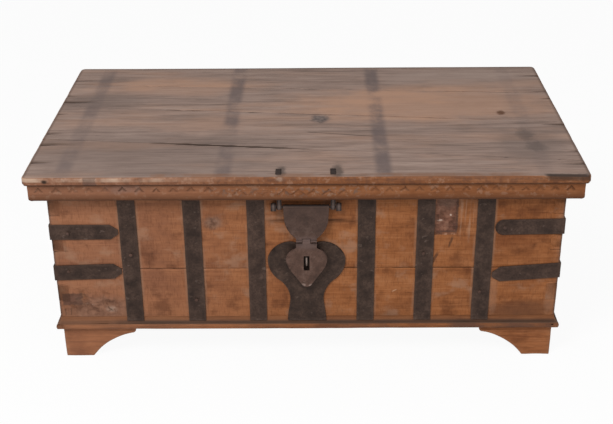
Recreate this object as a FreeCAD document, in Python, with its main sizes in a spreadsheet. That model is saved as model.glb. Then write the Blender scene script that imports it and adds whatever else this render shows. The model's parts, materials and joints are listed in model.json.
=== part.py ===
import FreeCAD, Part
import os
import re
import Sketcher

# An iron-bound plank chest on bracket feet, with a hinged lid, a two-link hasp and drop handles.
# Millimetres. X runs left to right, the front faces -Y, Z is up, the origin is under the middle.

# Driving sizes
SIZES = {
    # Case
    "case_length": 1084,
    "case_depth": 594,
    "wall_height": 333,
    "wall_thick": 24,
    "seam_drop": 22,
    "bottom_thick": 16,
    # Base rails and feet
    "foot_height": 77,
    "foot_length": 161,
    "foot_flat": 62,
    "foot_thick": 22,
    "foot_inset": 2,
    "arch_height": 60,
    "arch_ear": 9,
    "block_width": 34,
    "block_height": 58,
    "base_height": 28,
    "base_nose": 10,
    "cove_height": 14,
    "cove_depth": 8,
    "base_ledge": 14,
    # Lid
    "lid_thick": 20,
    "lid_overhang": 38,
    "lid_round": 5,
    "seam_a_left": 208,
    "seam_a_right": 78,
    "seam_b_left": 402,
    "seam_b_right": 292,
    "seam_c_left": 548,
    "seam_c_right": 476,
    "frieze_height": 40,
    "frieze_inset": 9,
    "frieze_clear": 5,
    "frieze_round": 9,
    "batten_spacing": 640,
    "batten_width": 60,
    "batten_thick": 18,
    "batten_set_back": 52,
    # Straps
    "strap_width": 38,
    "strap_thick": 2.5,
    "strap_lap": 10,
    "strap_top_gap": 6,
    "strap_a": -377,
    "strap_b": -240.5,
    "strap_c": -106.5,
    "strap_d": 127,
    "strap_e": 251.5,
    "strap_f": 377,
    "corner_width": 36,
    "corner_front_leg": 144,
    "corner_side_leg": 150,
    "corner_point": 17,
    "corner_blunt": 12,
    "corner_left_upper": 210,
    "corner_left_lower": 111,
    "corner_right_upper": 219.5,
    "corner_right_lower": 114,
    "corner_back_upper": 214,
    "corner_back_lower": 113,
    "rise_left_upper": 0,
    "rise_left_lower": 4.5,
    "rise_right_upper": -2.3,
    "rise_right_lower": -11,
    # Lock plate and staple
    "lock_thick": 2.5,
    "lock_over": 44,
    "lock_half_width": 83,
    "lock_waist": 37,
    "lock_waist_height": 36,
    "lock_foot": 42,
    "lock_dip": 6,
    "staple_wire": 2.25,
    "staple_half": 10.75,
    # Hasp
    "hasp_drop": 21,
    "hasp_stand": 11,
    "hasp_pin": 3,
    "pin_head": 9.2,
    "pin_head_length": 12,
    "hasp_plate": 2.8,
    "hasp_width": 96,
    "link_length": 78,
    "neck_width": 44,
    "neck_middle": 17.6,
    "neck_pin": 2.5,
    "heart_half_width": 44.5,
    "heart_length": 111,
    "slot_width": 12,
    "slot_height": 35,
    "slot_drop": 36,
    "eye_spacing": 112,
    "eye_width": 11,
    "eye_iron": 3,
    "clinch_length": 28,
    "clinch_thick": 2.6,
    # Hinges
    "hinge_spacing": 660,
    "hinge_width": 60,
    "hinge_middle": 23,
    "hinge_pin": 3,
    "hinge_leaf": 3,
    "hinge_leaf_length": 110,
    "hinge_tail": 38,
    # Drop handles
    "handle_height": 320,
    "handle_span": 120,
    "handle_drop": 72,
    "handle_bar": 4,
    "handle_pivot": 3.5,
    "handle_bend": 14,
    "handle_turn": 6,
    "handle_stand": 11,
    # Clearances
    "plank_gap": 0.6,
    "run_clear": 0.06,
    "loose_clear": 0.3,
    "hole_clear": 0.2,
    "side_clear": 0.5,
    "swing_clear": 1.5,
    "neck_clear": 0.5,
}

# Lengths worked out from the driving sizes
DERIVED = {
    "half_length": "case_length / 2",
    "half_depth": "case_depth / 2",
    "base_top": "foot_height + base_height",
    "rim": "base_top + wall_height",
    "lid_top": "rim + lid_thick",
    "lid_front": "half_depth + lid_overhang",
    "lid_end": "half_length + lid_overhang",
    "frieze_low": "rim - frieze_height",
    "frieze_out": "lid_overhang - frieze_inset",
    "cove_radius": "(cove_depth ^ 2 + cove_height ^ 2) / (2 * cove_depth)",
    "hasp_axis_height": "frieze_low - hasp_drop",
    "hasp_axis_out": "half_depth + hasp_stand",
    "hasp_bore": "hasp_pin + run_clear",
    "hasp_roll": "hasp_bore + hasp_plate",
    "neck_bore": "neck_pin + run_clear",
    "neck_height": "hasp_axis_height - link_length",
    "staple_height": "neck_height - slot_drop - slot_height / 2 + swing_clear",
    "staple_reach": "hasp_stand + hasp_roll - staple_wire - staple_half",
    "seam": "staple_height - seam_drop",
    "lock_height": "staple_height - base_top + lock_over",
    "lock_lobe_height": "lock_height * 0.79",
    "eye_bore": "hasp_pin + loose_clear",
    "hinge_bore": "hinge_pin + run_clear",
    "hinge_knuckle": "hinge_bore + hinge_leaf",
    "hinge_out": "half_depth + hinge_knuckle + side_clear",
    "hinge_height": "frieze_low - hinge_knuckle - side_clear",
    "handle_bore": "handle_pivot + loose_clear",
    "handle_arm": "handle_span / 2 - eye_width / 2 - handle_turn - side_clear",
}

TOLERANCE = 1e-6

doc = FreeCAD.newDocument("plank_chest")
sheet = doc.addObject("Spreadsheet::Sheet", "Sizes")
for row, (size_name, size_value) in enumerate(SIZES.items(), 1):
    sheet.set(f"A{row}", size_name)
    sheet.set(f"B{row}", str(size_value))
    sheet.setAlias(f"B{row}", size_name)
doc.recompute()

NODES = []


# Expressions and small helpers

def bind(text):
    """Turn a formula of size names into an expression on the sheet."""
    def swap(match):
        word = match.group(0)
        if word in DERIVED:
            return "(" + bind(DERIVED[word]) + ")"
        if word in SIZES:
            return "Sizes." + word
        return word
    return re.sub(r"[a-z][a-z_]*", swap, str(text))


def value(text):
    """The number that a formula gives now."""
    return float(sheet.evalExpression(bind(text)))


def spot(pair):
    return FreeCAD.Vector(value(pair[0]), value(pair[1]), 0)


def tie(thing, prop, text):
    thing.setExpression(prop, bind(text))


def place(thing, x, y, z, turn=0, axis=(0, 0, 1)):
    """Stand a piece at x, y, z, turned by so many degrees."""
    turning = FreeCAD.Rotation(FreeCAD.Vector(*axis), turn)
    thing.Placement = FreeCAD.Placement(FreeCAD.Vector(), turning)
    for letter, text in zip("xyz", (x, y, z)):
        tie(thing, "Placement.Base." + letter, text)


def node(thing, label):
    """Keep a finished piece under the name of its file."""
    thing.Label = label
    NODES.append(thing)
    return thing


class Via(tuple):
    """A point that the next stretch of an outline bends through."""


def other_side(half):
    """The mirror image of half an outline, running back to its start."""
    return [type(item)((f"-({item[0]})", item[1])) for item in reversed(half)]


# Sketches and features

def new_body(name):
    return doc.addObject("PartDesign::Body", name)


def new_sketch(body, plane, lift="0"):
    """An empty sketch on one of the body's own planes, moved along its normal."""
    sketch = body.newObject("Sketcher::SketchObject", "outline")
    support = [f for f in body.Origin.OriginFeatures if f.Role == plane][0]
    sketch.AttachmentSupport = [(support, "")]
    sketch.MapMode = "FlatFace"
    tie(sketch, "AttachmentOffset.Base.z", lift)
    return sketch


def fix_point(sketch, geometry, vertex, pair):
    """Hold a point of a sketch at a place given by two formulas."""
    for kind, text in zip(("DistanceX", "DistanceY"), pair):
        made = sketch.addConstraint(Sketcher.Constraint(kind, geometry, vertex, value(text)))
        tie(sketch, f"Constraints[{made}]", text)


def draw(sketch, path, closed=True):
    """Draw straight and bent stretches through a list of places."""
    corners = []
    bends = {}
    for item in path:
        if isinstance(item, Via):
            bends[len(corners) - 1] = item
        else:
            corners.append(item)
    count = len(corners)
    stretches = []
    for index in range(count if closed else count - 1):
        start = spot(corners[index])
        stop = spot(corners[(index + 1) % count])
        if index in bends:
            geometry = sketch.addGeometry(Part.Arc(start, spot(bends[index]), stop))
        else:
            geometry = sketch.addGeometry(Part.LineSegment(start, stop))
        first = 1 if (sketch.getPoint(geometry, 1) - start).Length < TOLERANCE else 2
        stretches.append((geometry, first, 3 - first))
    for index, (geometry, first, last) in enumerate(stretches):
        fix_point(sketch, geometry, first, corners[index])
        next_one, next_start, _ = stretches[(index + 1) % len(stretches)]
        if closed or index + 1 < len(stretches):
            sketch.addConstraint(Sketcher.Constraint("Coincident", geometry, last, next_one, next_start))
        else:
            fix_point(sketch, geometry, last, corners[-1])
    for index, pair in bends.items():
        mark = sketch.addGeometry(Part.Point(spot(pair)), True)
        fix_point(sketch, mark, 1, pair)
        sketch.addConstraint(Sketcher.Constraint("PointOnObject", mark, 1, stretches[index][0]))


def draw_circle(sketch, pair, radius):
    circle = sketch.addGeometry(Part.Circle(spot(pair), FreeCAD.Vector(0, 0, 1), value(radius)))
    fix_point(sketch, circle, 3, pair)
    made = sketch.addConstraint(Sketcher.Constraint("Radius", circle, value(radius)))
    tie(sketch, f"Constraints[{made}]", radius)


def draw_box(sketch, pair, half_x, half_y):
    """A rectangle about a place."""
    x, y = pair
    draw(sketch, [
        (f"{x} - {half_x}", f"{y} - {half_y}"),
        (f"{x} + {half_x}", f"{y} - {half_y}"),
        (f"{x} + {half_x}", f"{y} + {half_y}"),
        (f"{x} - {half_x}", f"{y} + {half_y}"),
    ])


def pad(body, sketch, length, both_ways=False, backwards=False):
    """Give a closed outline its thickness."""
    feature = body.newObject("PartDesign::Pad", "pad")
    feature.Profile = sketch
    tie(feature, "Length", length)
    feature.SideType = "Symmetric" if both_ways else "One side"
    feature.Reversed = backwards
    return feature


def pocket(body, sketch, depth=None):
    """Cut an outline out of a body: to a depth, or right through it both ways."""
    feature = body.newObject("PartDesign::Pocket", "pocket")
    feature.Profile = sketch
    if depth is None:
        feature.SideType = "Symmetric"
        feature.Type = "ThroughAll"
    else:
        tie(feature, "Length", depth)
    return feature


def ring(body, pair, outer, inner, length, shift="0"):
    """A tube along X, centred on a place in the body's YZ plane."""
    sketch = new_sketch(body, "YZ_Plane", shift)
    draw_circle(sketch, pair, outer)
    draw_circle(sketch, pair, inner)
    pad(body, sketch, length, both_ways=True)


def primitive(kind, sizes, x="0", y="0", z="0", turn=0, axis=(0, 0, 1)):
    """A basic solid with its sizes and its place."""
    solid = doc.addObject("Part::" + kind, kind.lower())
    for prop, text in sizes.items():
        tie(solid, prop, text)
    place(solid, x, y, z, turn, axis)
    return solid


def fused(solids):
    whole = doc.addObject("Part::MultiFuse", "joined")
    whole.Shapes = solids
    return whole


def grouped(solids):
    group = doc.addObject("Part::Compound", "group")
    group.Links = solids
    return group


# Half sizes of the holes that the irons are driven through
STAPLE_HOLE = ("(staple_wire + hole_clear)", "(staple_wire + hole_clear)")
EYE_HOLE = ("(eye_width / 2 + hole_clear)", "(eye_iron + hole_clear)")

# The four faces of the case: where each stands, how it is turned, and half its length
FACES = {
    "front": ("0", "-half_depth", 0, "half_length"),
    "right": ("half_length", "0", 90, "half_depth"),
    "back": ("0", "half_depth", 180, "half_length"),
    "left": ("-half_length", "0", -90, "half_depth"),
}

# What lies at the right-hand and left-hand end of each face, seen from outside
FACE_ENDS = {
    "front": ("right", "left"),
    "right": ("back", "front"),
    "back": ("left", "right"),
    "left": ("front", "back"),
}


# Case walls: planks joined at the corners by fingers

def finger_edge(reach, height, fingers, long_first):
    """The stepped right-hand end of a plank, from the bottom up."""
    edge = []
    for index in range(fingers):
        is_long = (index % 2 == 0) == long_first
        end = reach if is_long else f"{reach} - wall_thick"
        edge.append((end, f"{height} * {index} / {fingers}"))
        edge.append((end, f"{height} * {index + 1} / {fingers}"))
    return edge


def wall_plank(face, tier, low, height, fingers, holes=(), half_hole=("0", "0")):
    x, y, turn, reach = FACES[face]
    plank = new_body(f"{face}_{tier}_plank")
    sketch = new_sketch(plank, "XZ_Plane")
    edge = finger_edge(reach, height, fingers, face in ("front", "back"))
    draw(sketch, edge + other_side(edge))
    for pair in holes:
        draw_box(sketch, pair, *half_hole)
    pad(plank, sketch, "wall_thick", backwards=True)
    place(plank, x, y, low, turn)
    node(plank, f"{face}_{tier}_plank")


def case_walls(lower_fingers=3, upper_fingers=5):
    lower_height = "(seam - base_top)"
    upper_height = "(rim - seam)"
    staple_holes = [("0", f"staple_height - seam + {sign} * staple_half") for sign in (1, -1)]
    eye_holes = [(f"{sign} * handle_span / 2", "handle_height - seam") for sign in (1, -1)]
    for face in FACES:
        wall_plank(face, "lower", "base_top", lower_height, lower_fingers)
    wall_plank("front", "upper", "seam", upper_height, upper_fingers, staple_holes, STAPLE_HOLE)
    wall_plank("back", "upper", "seam", upper_height, upper_fingers)
    for face in ("left", "right"):
        wall_plank(face, "upper", "seam", upper_height, upper_fingers, eye_holes, EYE_HOLE)


def bottom_boards(count=3):
    """Loose boards side by side on the ledge of the base rails."""
    inside_depth = "(case_depth - 2 * wall_thick - 2 * side_clear)"
    width = f"({inside_depth} - {count - 1} * plank_gap) / {count}"
    for index in range(count):
        board = primitive("Box", {
            "Length": "case_length - 2 * wall_thick - 2 * side_clear",
            "Width": width,
            "Height": "bottom_thick",
        }, "-half_length + wall_thick + side_clear",
            f"-{inside_depth} / 2 + {index} * ({width} + plank_gap)", "base_top")
        node(board, f"bottom_board_{index + 1}")


# Mitred strips that run round the case: base rails and lid frieze

def mitred_strip(face, profile, out, inner, level, label, holes=()):
    """A strip along one face, its profile drawn looking along the strip, with 45 degree ends."""
    x, y, turn, reach = FACES[face]
    end = f"({reach} + {out})"
    strip = new_body(label)
    section = new_sketch(strip, "YZ_Plane")
    draw(section, profile)
    pad(strip, section, f"2 * {end}", both_ways=True)
    ends = new_sketch(strip, "XY_Plane")
    for sign in ("", "-"):
        draw(ends, [
            (f"{sign}({end} + {out})", f"-2 * {out}"),
            (f"{sign}({end} + {out})", f"-({inner})"),
            (f"{sign}({reach} + {inner})", f"-({inner})"),
        ])
    pocket(strip, ends)
    if holes:
        bores = new_sketch(strip, "XY_Plane")
        for pair in holes:
            draw_box(bores, pair, *EYE_HOLE)
        pocket(strip, bores)
    place(strip, x, y, level, turn)
    node(strip, label)


def base_rails():
    """Rails under the walls: a ledge inside, a cove and a round nose outside."""
    nose = "(base_height - cove_height)"
    cove_middle = "(cove_radius - sqrt(cove_radius ^ 2 - (cove_height / 2) ^ 2))"
    profile = [
        ("wall_thick + base_ledge", "0"),
        ("wall_thick + base_ledge", "base_height"),
        ("0", "base_height"),
        Via((f"-{cove_middle}", "base_height - cove_height / 2")),
        ("-cove_depth", nose),
        Via(("-base_nose", f"{nose} / 2")),
        ("-cove_depth", "0"),
    ]
    for face in FACES:
        mitred_strip(face, profile, "base_nose", "-(wall_thick + base_ledge)", "foot_height",
                     f"base_rail_{face}")


def lid_frieze():
    """Strips under the lid's edge, outside the case, with a rounded lower edge."""
    bulge = "(frieze_round * (1 - sqrt(0.5)))"
    profile = [
        ("-frieze_clear", "-frieze_height"),
        ("-frieze_clear", "0"),
        ("-frieze_out", "0"),
        ("-frieze_out", "-frieze_height + frieze_round"),
        Via((f"-frieze_out + {bulge}", f"-frieze_height + {bulge}")),
        ("-frieze_out + frieze_round", "-frieze_height"),
    ]
    for face in FACES:
        holes = []
        if face == "front":
            holes = [(f"{sign} * eye_spacing / 2", "-hasp_stand") for sign in (1, -1)]
        mitred_strip(face, profile, "frieze_out", "frieze_clear", "rim", f"lid_frieze_{face}", holes)


# Bracket feet

def foot_outline(sign, start, reach):
    """An upright bracket, flat on the floor at the corner, arched towards the middle of its face."""
    arch_end = "(foot_length - arch_ear)"
    outline = [
        (start, "0"),
        ("foot_flat", "0"),
        Via((f"foot_flat + 0.42 * ({arch_end} - foot_flat)", "0.63 * arch_height")),
        (arch_end, "arch_height"),
        Via((f"{arch_end} + 0.75 * arch_ear", "arch_height + 0.35 * arch_ear")),
        ("foot_length", "arch_height + arch_ear"),
        ("foot_length", "foot_height"),
        (start, "foot_height"),
    ]
    return [type(item)((f"{sign}({reach} - foot_inset - ({item[0]}))", item[1])) for item in outline]


def bracket_feet():
    """Two brackets at each corner: long ones on front and back, side ones butted behind them."""
    for face, (x, y, turn, reach) in FACES.items():
        start = "0" if face in ("front", "back") else "foot_thick"
        for end, sign in zip(FACE_ENDS[face], ("", "-")):
            foot = new_body("foot")
            sketch = new_sketch(foot, "XZ_Plane", "-foot_inset")
            draw(sketch, foot_outline(sign, start, reach))
            pad(foot, sketch, "foot_thick", backwards=True)
            place(foot, x, y, "0", turn)
            node(foot, f"foot_{face}_{end}")


def foot_blocks():
    """A square block in the corner of each foot, under the rails."""
    inset = "(foot_inset + foot_thick)"
    blocks = []
    for side_x in (1, -1):
        for side_y in (1, -1):
            shift_x = "0" if side_x < 0 else "-block_width"
            shift_y = "0" if side_y < 0 else "-block_width"
            blocks.append(primitive("Box", {
                "Length": "block_width",
                "Width": "block_width",
                "Height": "block_height",
            }, f"{side_x} * (half_length - {inset}) + {shift_x}",
                f"{side_y} * (half_depth - {inset}) + {shift_y}", "foot_height - block_height"))
    node(grouped(blocks), "foot_blocks")


# Iron straps

def lap_profile(thick, top):
    """A flat strap seen from its edge: straight down the wall, its end hammered over the cove."""
    def cove_point(depth, lift):
        sine = f"({depth} / cove_radius)"
        cosine = f"sqrt(1 - {sine} ^ 2)"
        reach = f"(cove_radius - hole_clear * {depth} / strap_lap - {lift})"
        return (f"-cove_radius + {reach} * {cosine}", f"-{reach} * {sine}")
    return [
        ("0", top),
        ("0", "0"),
        Via(cove_point("strap_lap / 2", "0")),
        cove_point("strap_lap", "0"),
        cove_point("strap_lap", thick),
        Via(cove_point("strap_lap / 2", thick)),
        (f"-{thick}", "0"),
        (f"-{thick}", top),
    ]


def front_straps():
    profile = lap_profile("strap_thick", "wall_height - strap_top_gap")
    for index, centre in enumerate("abcdef", 1):
        strap = new_body("front_strap")
        section = new_sketch(strap, "YZ_Plane")
        draw(section, profile)
        pad(strap, section, "strap_width", both_ways=True)
        place(strap, f"strap_{centre}", "-half_depth", "base_top")
        node(strap, f"front_strap_{index}")


def strap_leg(sign, root, length, rise, round_tip):
    """One leg of a corner strap, from the corner to its pointed or rounded tip."""
    half = "corner_width / 2"
    neck = f"({length} - corner_point)"
    neck_rise = f"({rise} * {neck} / {length})"
    leg = [
        (root, f"-{half}"),
        (neck, f"-{half} + {neck_rise}"),
    ]
    if round_tip:
        leg.append(Via((length, rise)))
    else:
        leg.append((length, f"-corner_blunt / 2 + {rise}"))
        leg.append((length, f"corner_blunt / 2 + {rise}"))
    leg.append((neck, f"{half} + {neck_rise}"))
    leg.append((root, half))
    return [type(item)((f"{sign}({item[0]})", item[1])) for item in leg]


def corner_strap(side_x, side_y, height, rise="0", round_tip=False):
    """A flat iron bent round an upright corner of the case, at a height above the base."""
    strap = new_body("corner_strap")
    inward_x = "-" if side_x > 0 else ""
    inward_y = "-" if side_y > 0 else ""
    along = new_sketch(strap, "XZ_Plane")
    draw(along, strap_leg(inward_x, "-strap_thick", "corner_front_leg", rise, round_tip))
    pad(strap, along, "strap_thick", backwards=side_y > 0)
    around = new_sketch(strap, "YZ_Plane")
    draw(around, strap_leg(inward_y, "0", "corner_side_leg", "0", round_tip))
    pad(strap, around, "strap_thick", backwards=side_x < 0)
    place(strap, f"{side_x} * half_length", f"{side_y} * half_depth", height)
    return strap


def corner_straps():
    """Two straps at each corner, the front ones a little out of level, one with a rounded tip."""
    back = []
    for side, side_x in (("left", -1), ("right", 1)):
        for tier in ("upper", "lower"):
            name = f"{side}_{tier}"
            front = corner_strap(side_x, -1, f"base_top + corner_{name}", f"rise_{name}",
                                 name == "right_upper")
            node(front, f"corner_strap_{name}")
            back.append(corner_strap(side_x, 1, f"base_top + corner_back_{tier}"))
    node(grouped(back), "corner_straps_back")


# Lock plate and staple

def lock_plate():
    """A heart on a stem, its foot hammered over the cove like the straps."""
    lobe_foot = "(lock_lobe_height * 0.64)"
    shoulder = "(lock_height - lock_lobe_height)"
    half = [
        ("lock_foot", "0"),
        ("lock_waist", "lock_waist_height"),
        Via(("lock_waist * 1.14", f"lock_waist_height + ({lobe_foot} - lock_waist_height) * 0.6")),
        ("lock_half_width * 0.74", lobe_foot),
        Via(("lock_half_width * 0.955", "lock_lobe_height * 0.81")),
        ("lock_half_width", "lock_lobe_height"),
        Via(("lock_half_width * 0.8", f"lock_lobe_height + {shoulder} * 0.68")),
        ("lock_half_width * 0.36", "lock_height"),
    ]
    plate = new_body("lock_plate")
    outline = new_sketch(plate, "XZ_Plane")
    draw(outline, half + [Via(("0", "lock_height - lock_dip"))] + other_side(half))
    for sign in (1, -1):
        draw_box(outline, ("0", f"staple_height - base_top + {sign} * staple_half"), *STAPLE_HOLE)
    pad(plate, outline, "lock_thick")
    lap = new_sketch(plate, "YZ_Plane")
    draw(lap, lap_profile("lock_thick", "lock_thick"))
    pad(plate, lap, "2 * lock_foot", both_ways=True)
    place(plate, "0", "-half_depth", "base_top")
    node(plate, "lock_plate")


def lock_staple():
    """A loop of square iron through the lock plate and the front wall."""
    staple = new_body("lock_staple")
    path = new_sketch(staple, "YZ_Plane")
    draw(path, [
        ("wall_thick", "staple_half"),
        ("-staple_reach", "staple_half"),
        Via(("-staple_reach - staple_half", "0")),
        ("-staple_reach", "-staple_half"),
        ("wall_thick", "-staple_half"),
    ], closed=False)
    wire = new_sketch(staple, "XZ_Plane", "-wall_thick")
    draw_box(wire, ("0", "staple_half"), "staple_wire", "staple_wire")
    pipe = staple.newObject("PartDesign::AdditivePipe", "loop")
    pipe.Profile = wire
    pipe.Spine = path
    place(staple, "0", "-half_depth", "staple_height")
    node(staple, "lock_staple")


# Lid

def lid_planks():
    """Four planks with slanting seams, rounded where they form the lid's outer edge."""
    seams = [("-lid_front", "-lid_front", "0")]
    for seam in ("seam_a", "seam_b", "seam_c"):
        seams.append((f"-lid_front + {seam}_left", f"-lid_front + {seam}_right", "plank_gap / 2"))
    seams.append(("lid_front", "lid_front", "0"))
    for index, (near, far) in enumerate(zip(seams, seams[1:]), 1):
        plank = new_body("lid_plank")
        plan = new_sketch(plank, "XY_Plane")
        draw(plan, [
            ("-lid_end", f"{near[0]} + {near[2]}"),
            ("lid_end", f"{near[1]} + {near[2]}"),
            ("lid_end", f"{far[1]} - {far[2]}"),
            ("-lid_end", f"{far[0]} - {far[2]}"),
        ])
        slab = pad(plank, plan, "lid_thick")
        round_outer_edges(plank, slab)
        if index == 1:
            clinch_seats(plank)
        place(plank, "0", "0", "rim")
        node(plank, f"lid_plank_{index}")


def round_outer_edges(plank, slab):
    """Round the level edges of a plank that lie on the outline of the lid."""
    doc.recompute()
    outline = ((0, value("lid_end")), (1, value("lid_front")))
    names = []
    for number, edge in enumerate(slab.Shape.Edges, 1):
        ends = [vertex.Point for vertex in edge.Vertexes]
        level = abs(ends[0].z - ends[1].z) < TOLERANCE
        outer = any(all(abs(abs(end[axis]) - limit) < TOLERANCE for end in ends)
                    and abs(ends[0][axis] - ends[1][axis]) < TOLERANCE for axis, limit in outline)
        if level and outer:
            names.append(f"Edge{number}")
    rounding = plank.newObject("PartDesign::Fillet", "rounding")
    rounding.Base = (slab, names)
    tie(rounding, "Radius", "lid_round")


def clinch_seats(plank):
    """Holes for the legs of the hasp's eyes, and the dents that their clinched ends lie in."""
    bores = new_sketch(plank, "XY_Plane")
    dents = new_sketch(plank, "XY_Plane", "lid_thick")
    for sign in (1, -1):
        centre = (f"{sign} * eye_spacing / 2", "-hasp_axis_out")
        draw_box(bores, centre, *EYE_HOLE)
        draw_box(dents, centre, EYE_HOLE[0], "(clinch_length / 2 + hole_clear)")
    pocket(plank, bores)
    pocket(plank, dents, "clinch_thick + hole_clear")


def lid_battens():
    """Two bevelled cross-pieces under the lid, clear of the walls as it swings."""
    half = "(half_depth - batten_set_back)"
    for number, sign in enumerate((-1, 1), 1):
        batten = new_body("lid_batten")
        side = new_sketch(batten, "YZ_Plane")
        draw(side, [
            (f"-{half} + batten_thick", "-batten_thick"),
            (f"{half} - batten_thick", "-batten_thick"),
            (half, "0"),
            (f"-{half}", "0"),
        ])
        pad(batten, side, "batten_width", both_ways=True)
        place(batten, f"{sign} * batten_spacing / 2", "0", "rim")
        node(batten, f"lid_batten_{number}")


# Hasp

def strap_eye(bore, x, y, z, leg, turn, axis):
    """A strip of iron bent into an eye, with its two ends laid together as one flat leg."""
    disc, hole = (
        primitive("Cylinder", {"Radius": radius, "Height": "eye_width"}, x, y, z, turn, axis)
        for radius in (f"{bore} + eye_iron", bore)
    )
    loop = doc.addObject("Part::Cut", "loop")
    loop.Base = fused([disc, leg])
    loop.Tool = hole
    return loop


def hasp_eyes():
    """Two eyes below the frieze, their legs driven up through it and clinched on the lid."""
    eyes = []
    y = "-hasp_axis_out"
    leg_foot = "(hasp_axis_height + eye_bore)"
    for sign in (1, -1):
        x = f"({sign} * eye_spacing / 2 - eye_width / 2)"
        leg = primitive("Box", {
            "Length": "eye_width",
            "Width": "2 * eye_iron",
            "Height": f"lid_top - {leg_foot}",
        }, x, f"{y} - eye_iron", leg_foot)
        clinch = primitive("Box", {
            "Length": "eye_width",
            "Width": "clinch_length",
            "Height": "clinch_thick",
        }, x, f"{y} - clinch_length / 2", "lid_top - clinch_thick")
        eyes.append(strap_eye("eye_bore", x, y, "hasp_axis_height", fused([leg, clinch]), 90, (0, 1, 0)))
    node(grouped(eyes), "hasp_eyes")


def hasp_pin():
    """A plain pin along X with a stout head on each end, close against the eyes."""
    length = "(eye_spacing + eye_width + 2 * side_clear)"
    out = "-hasp_axis_out"
    stretches = [
        ("hasp_pin", length, f"-{length} / 2"),
        ("pin_head", "pin_head_length", f"-{length} / 2 - pin_head_length"),
        ("pin_head", "pin_head_length", f"{length} / 2"),
    ]
    parts = []
    for radius, height, start in stretches:
        parts.append(primitive("Cylinder", {"Radius": radius, "Height": height},
                               start, out, "hasp_axis_height", 90, (0, 1, 0)))
    node(fused(parts), "hasp_pin")


def hasp_link():
    """The upper link: a cup-shaped plate rolled round the pin, with two knuckles at its neck."""
    plate_lift = "hasp_bore"
    roll_end = "-hasp_roll / 4"
    notch_low = "-link_length + hasp_roll + neck_clear"
    half = [
        ("neck_middle / 2 + side_clear", notch_low),
        ("neck_middle / 2 + side_clear", f"-link_length - ({roll_end})"),
        ("neck_width / 2", f"-link_length - ({roll_end})"),
        ("neck_width / 2", notch_low),
        Via(("hasp_width * 0.415", "-link_length * 0.64")),
        ("hasp_width * 0.48", "-link_length * 0.38"),
        ("hasp_width / 2", roll_end),
    ]
    link = new_body("hasp_link")
    plate = new_sketch(link, "XZ_Plane", plate_lift)
    draw(plate, half + other_side(half))
    pad(link, plate, "hasp_plate")
    ring(link, ("0", "0"), "hasp_roll", "hasp_bore", "hasp_width")
    knuckle = "(neck_width - neck_middle) / 2 - side_clear"
    for sign in (1, -1):
        ring(link, ("0", "-link_length"), "hasp_roll", "neck_bore", knuckle,
             f"{sign} * (neck_width / 2 - ({knuckle}) / 2)")
    place(link, "0", "-hasp_axis_out", "hasp_axis_height")
    node(link, "hasp_link")


def hasp_neck_pin():
    pin = primitive("Cylinder", {"Radius": "neck_pin", "Height": "neck_width"},
                    "-neck_width / 2", "-hasp_axis_out", "neck_height", 90, (0, 1, 0))
    node(pin, "hasp_neck_pin")


def hasp_heart():
    """The heart plate: one knuckle on the neck pin, and a slot that goes over the staple."""
    plate_lift = "hasp_bore"
    knuckle_end = "-hasp_roll / 4"
    shoulder = "-hasp_roll - neck_clear"
    half = [
        ("heart_length * 0.09", "-heart_length * 0.955"),
        ("heart_half_width * 0.66", "-heart_length * 0.7"),
        Via(("heart_half_width * 0.94", "-heart_length * 0.5")),
        ("heart_half_width", "-heart_length * 0.39"),
        Via(("heart_half_width * 0.9", "-heart_length * 0.27")),
        ("neck_width * 0.57", "-heart_length * 0.17"),
        ("neck_width / 2", "-heart_length * 0.145"),
        ("neck_width / 2", shoulder),
        ("neck_middle / 2 - side_clear", shoulder),
        ("neck_middle / 2 - side_clear", knuckle_end),
    ]
    slot = [
        ("slot_width / 2", "-slot_drop - slot_height"),
        ("slot_width / 2", "-slot_drop"),
    ]
    heart = new_body("hasp_heart")
    plate = new_sketch(heart, "XZ_Plane", plate_lift)
    draw(plate, half + other_side(half) + [Via(("0", "-heart_length"))])
    draw(plate, slot + other_side(slot))
    pad(heart, plate, "hasp_plate")
    ring(heart, ("0", "0"), "hasp_roll", "neck_bore", "neck_middle - 2 * side_clear")
    place(heart, "0", "-hasp_axis_out", "neck_height")
    node(heart, "hasp_heart")


# Hinges at the back

def hinge_case_leaf(sign, label):
    """A leaf down the back wall with two knuckles, tapering to a rounded tail."""
    wide = "hinge_width / 2"
    tail = "hinge_tail / 2"
    gap = "(hinge_middle / 2 + side_clear)"
    taper_end = f"-hinge_leaf_length + {tail}"
    half = [
        (tail, taper_end),
        (wide, "-hinge_leaf_length * 0.3"),
        (wide, "-hinge_knuckle / 4"),
        (gap, "-hinge_knuckle / 4"),
        (gap, "-hinge_knuckle - swing_clear"),
    ]
    leaf = new_body("hinge_case_leaf")
    plate = new_sketch(leaf, "XZ_Plane", "hinge_bore + side_clear")
    draw(plate, half + other_side(half) + [Via(("0", "-hinge_leaf_length"))])
    pad(leaf, plate, "hinge_leaf")
    knuckle = f"({wide} - {gap})"
    for side in (1, -1):
        ring(leaf, ("0", "0"), "hinge_knuckle", "hinge_bore", knuckle,
             f"{side} * ({gap} + {knuckle} / 2)")
    place(leaf, f"{sign} * hinge_spacing / 2", "hinge_out", "hinge_height")
    node(leaf, label)


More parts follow.
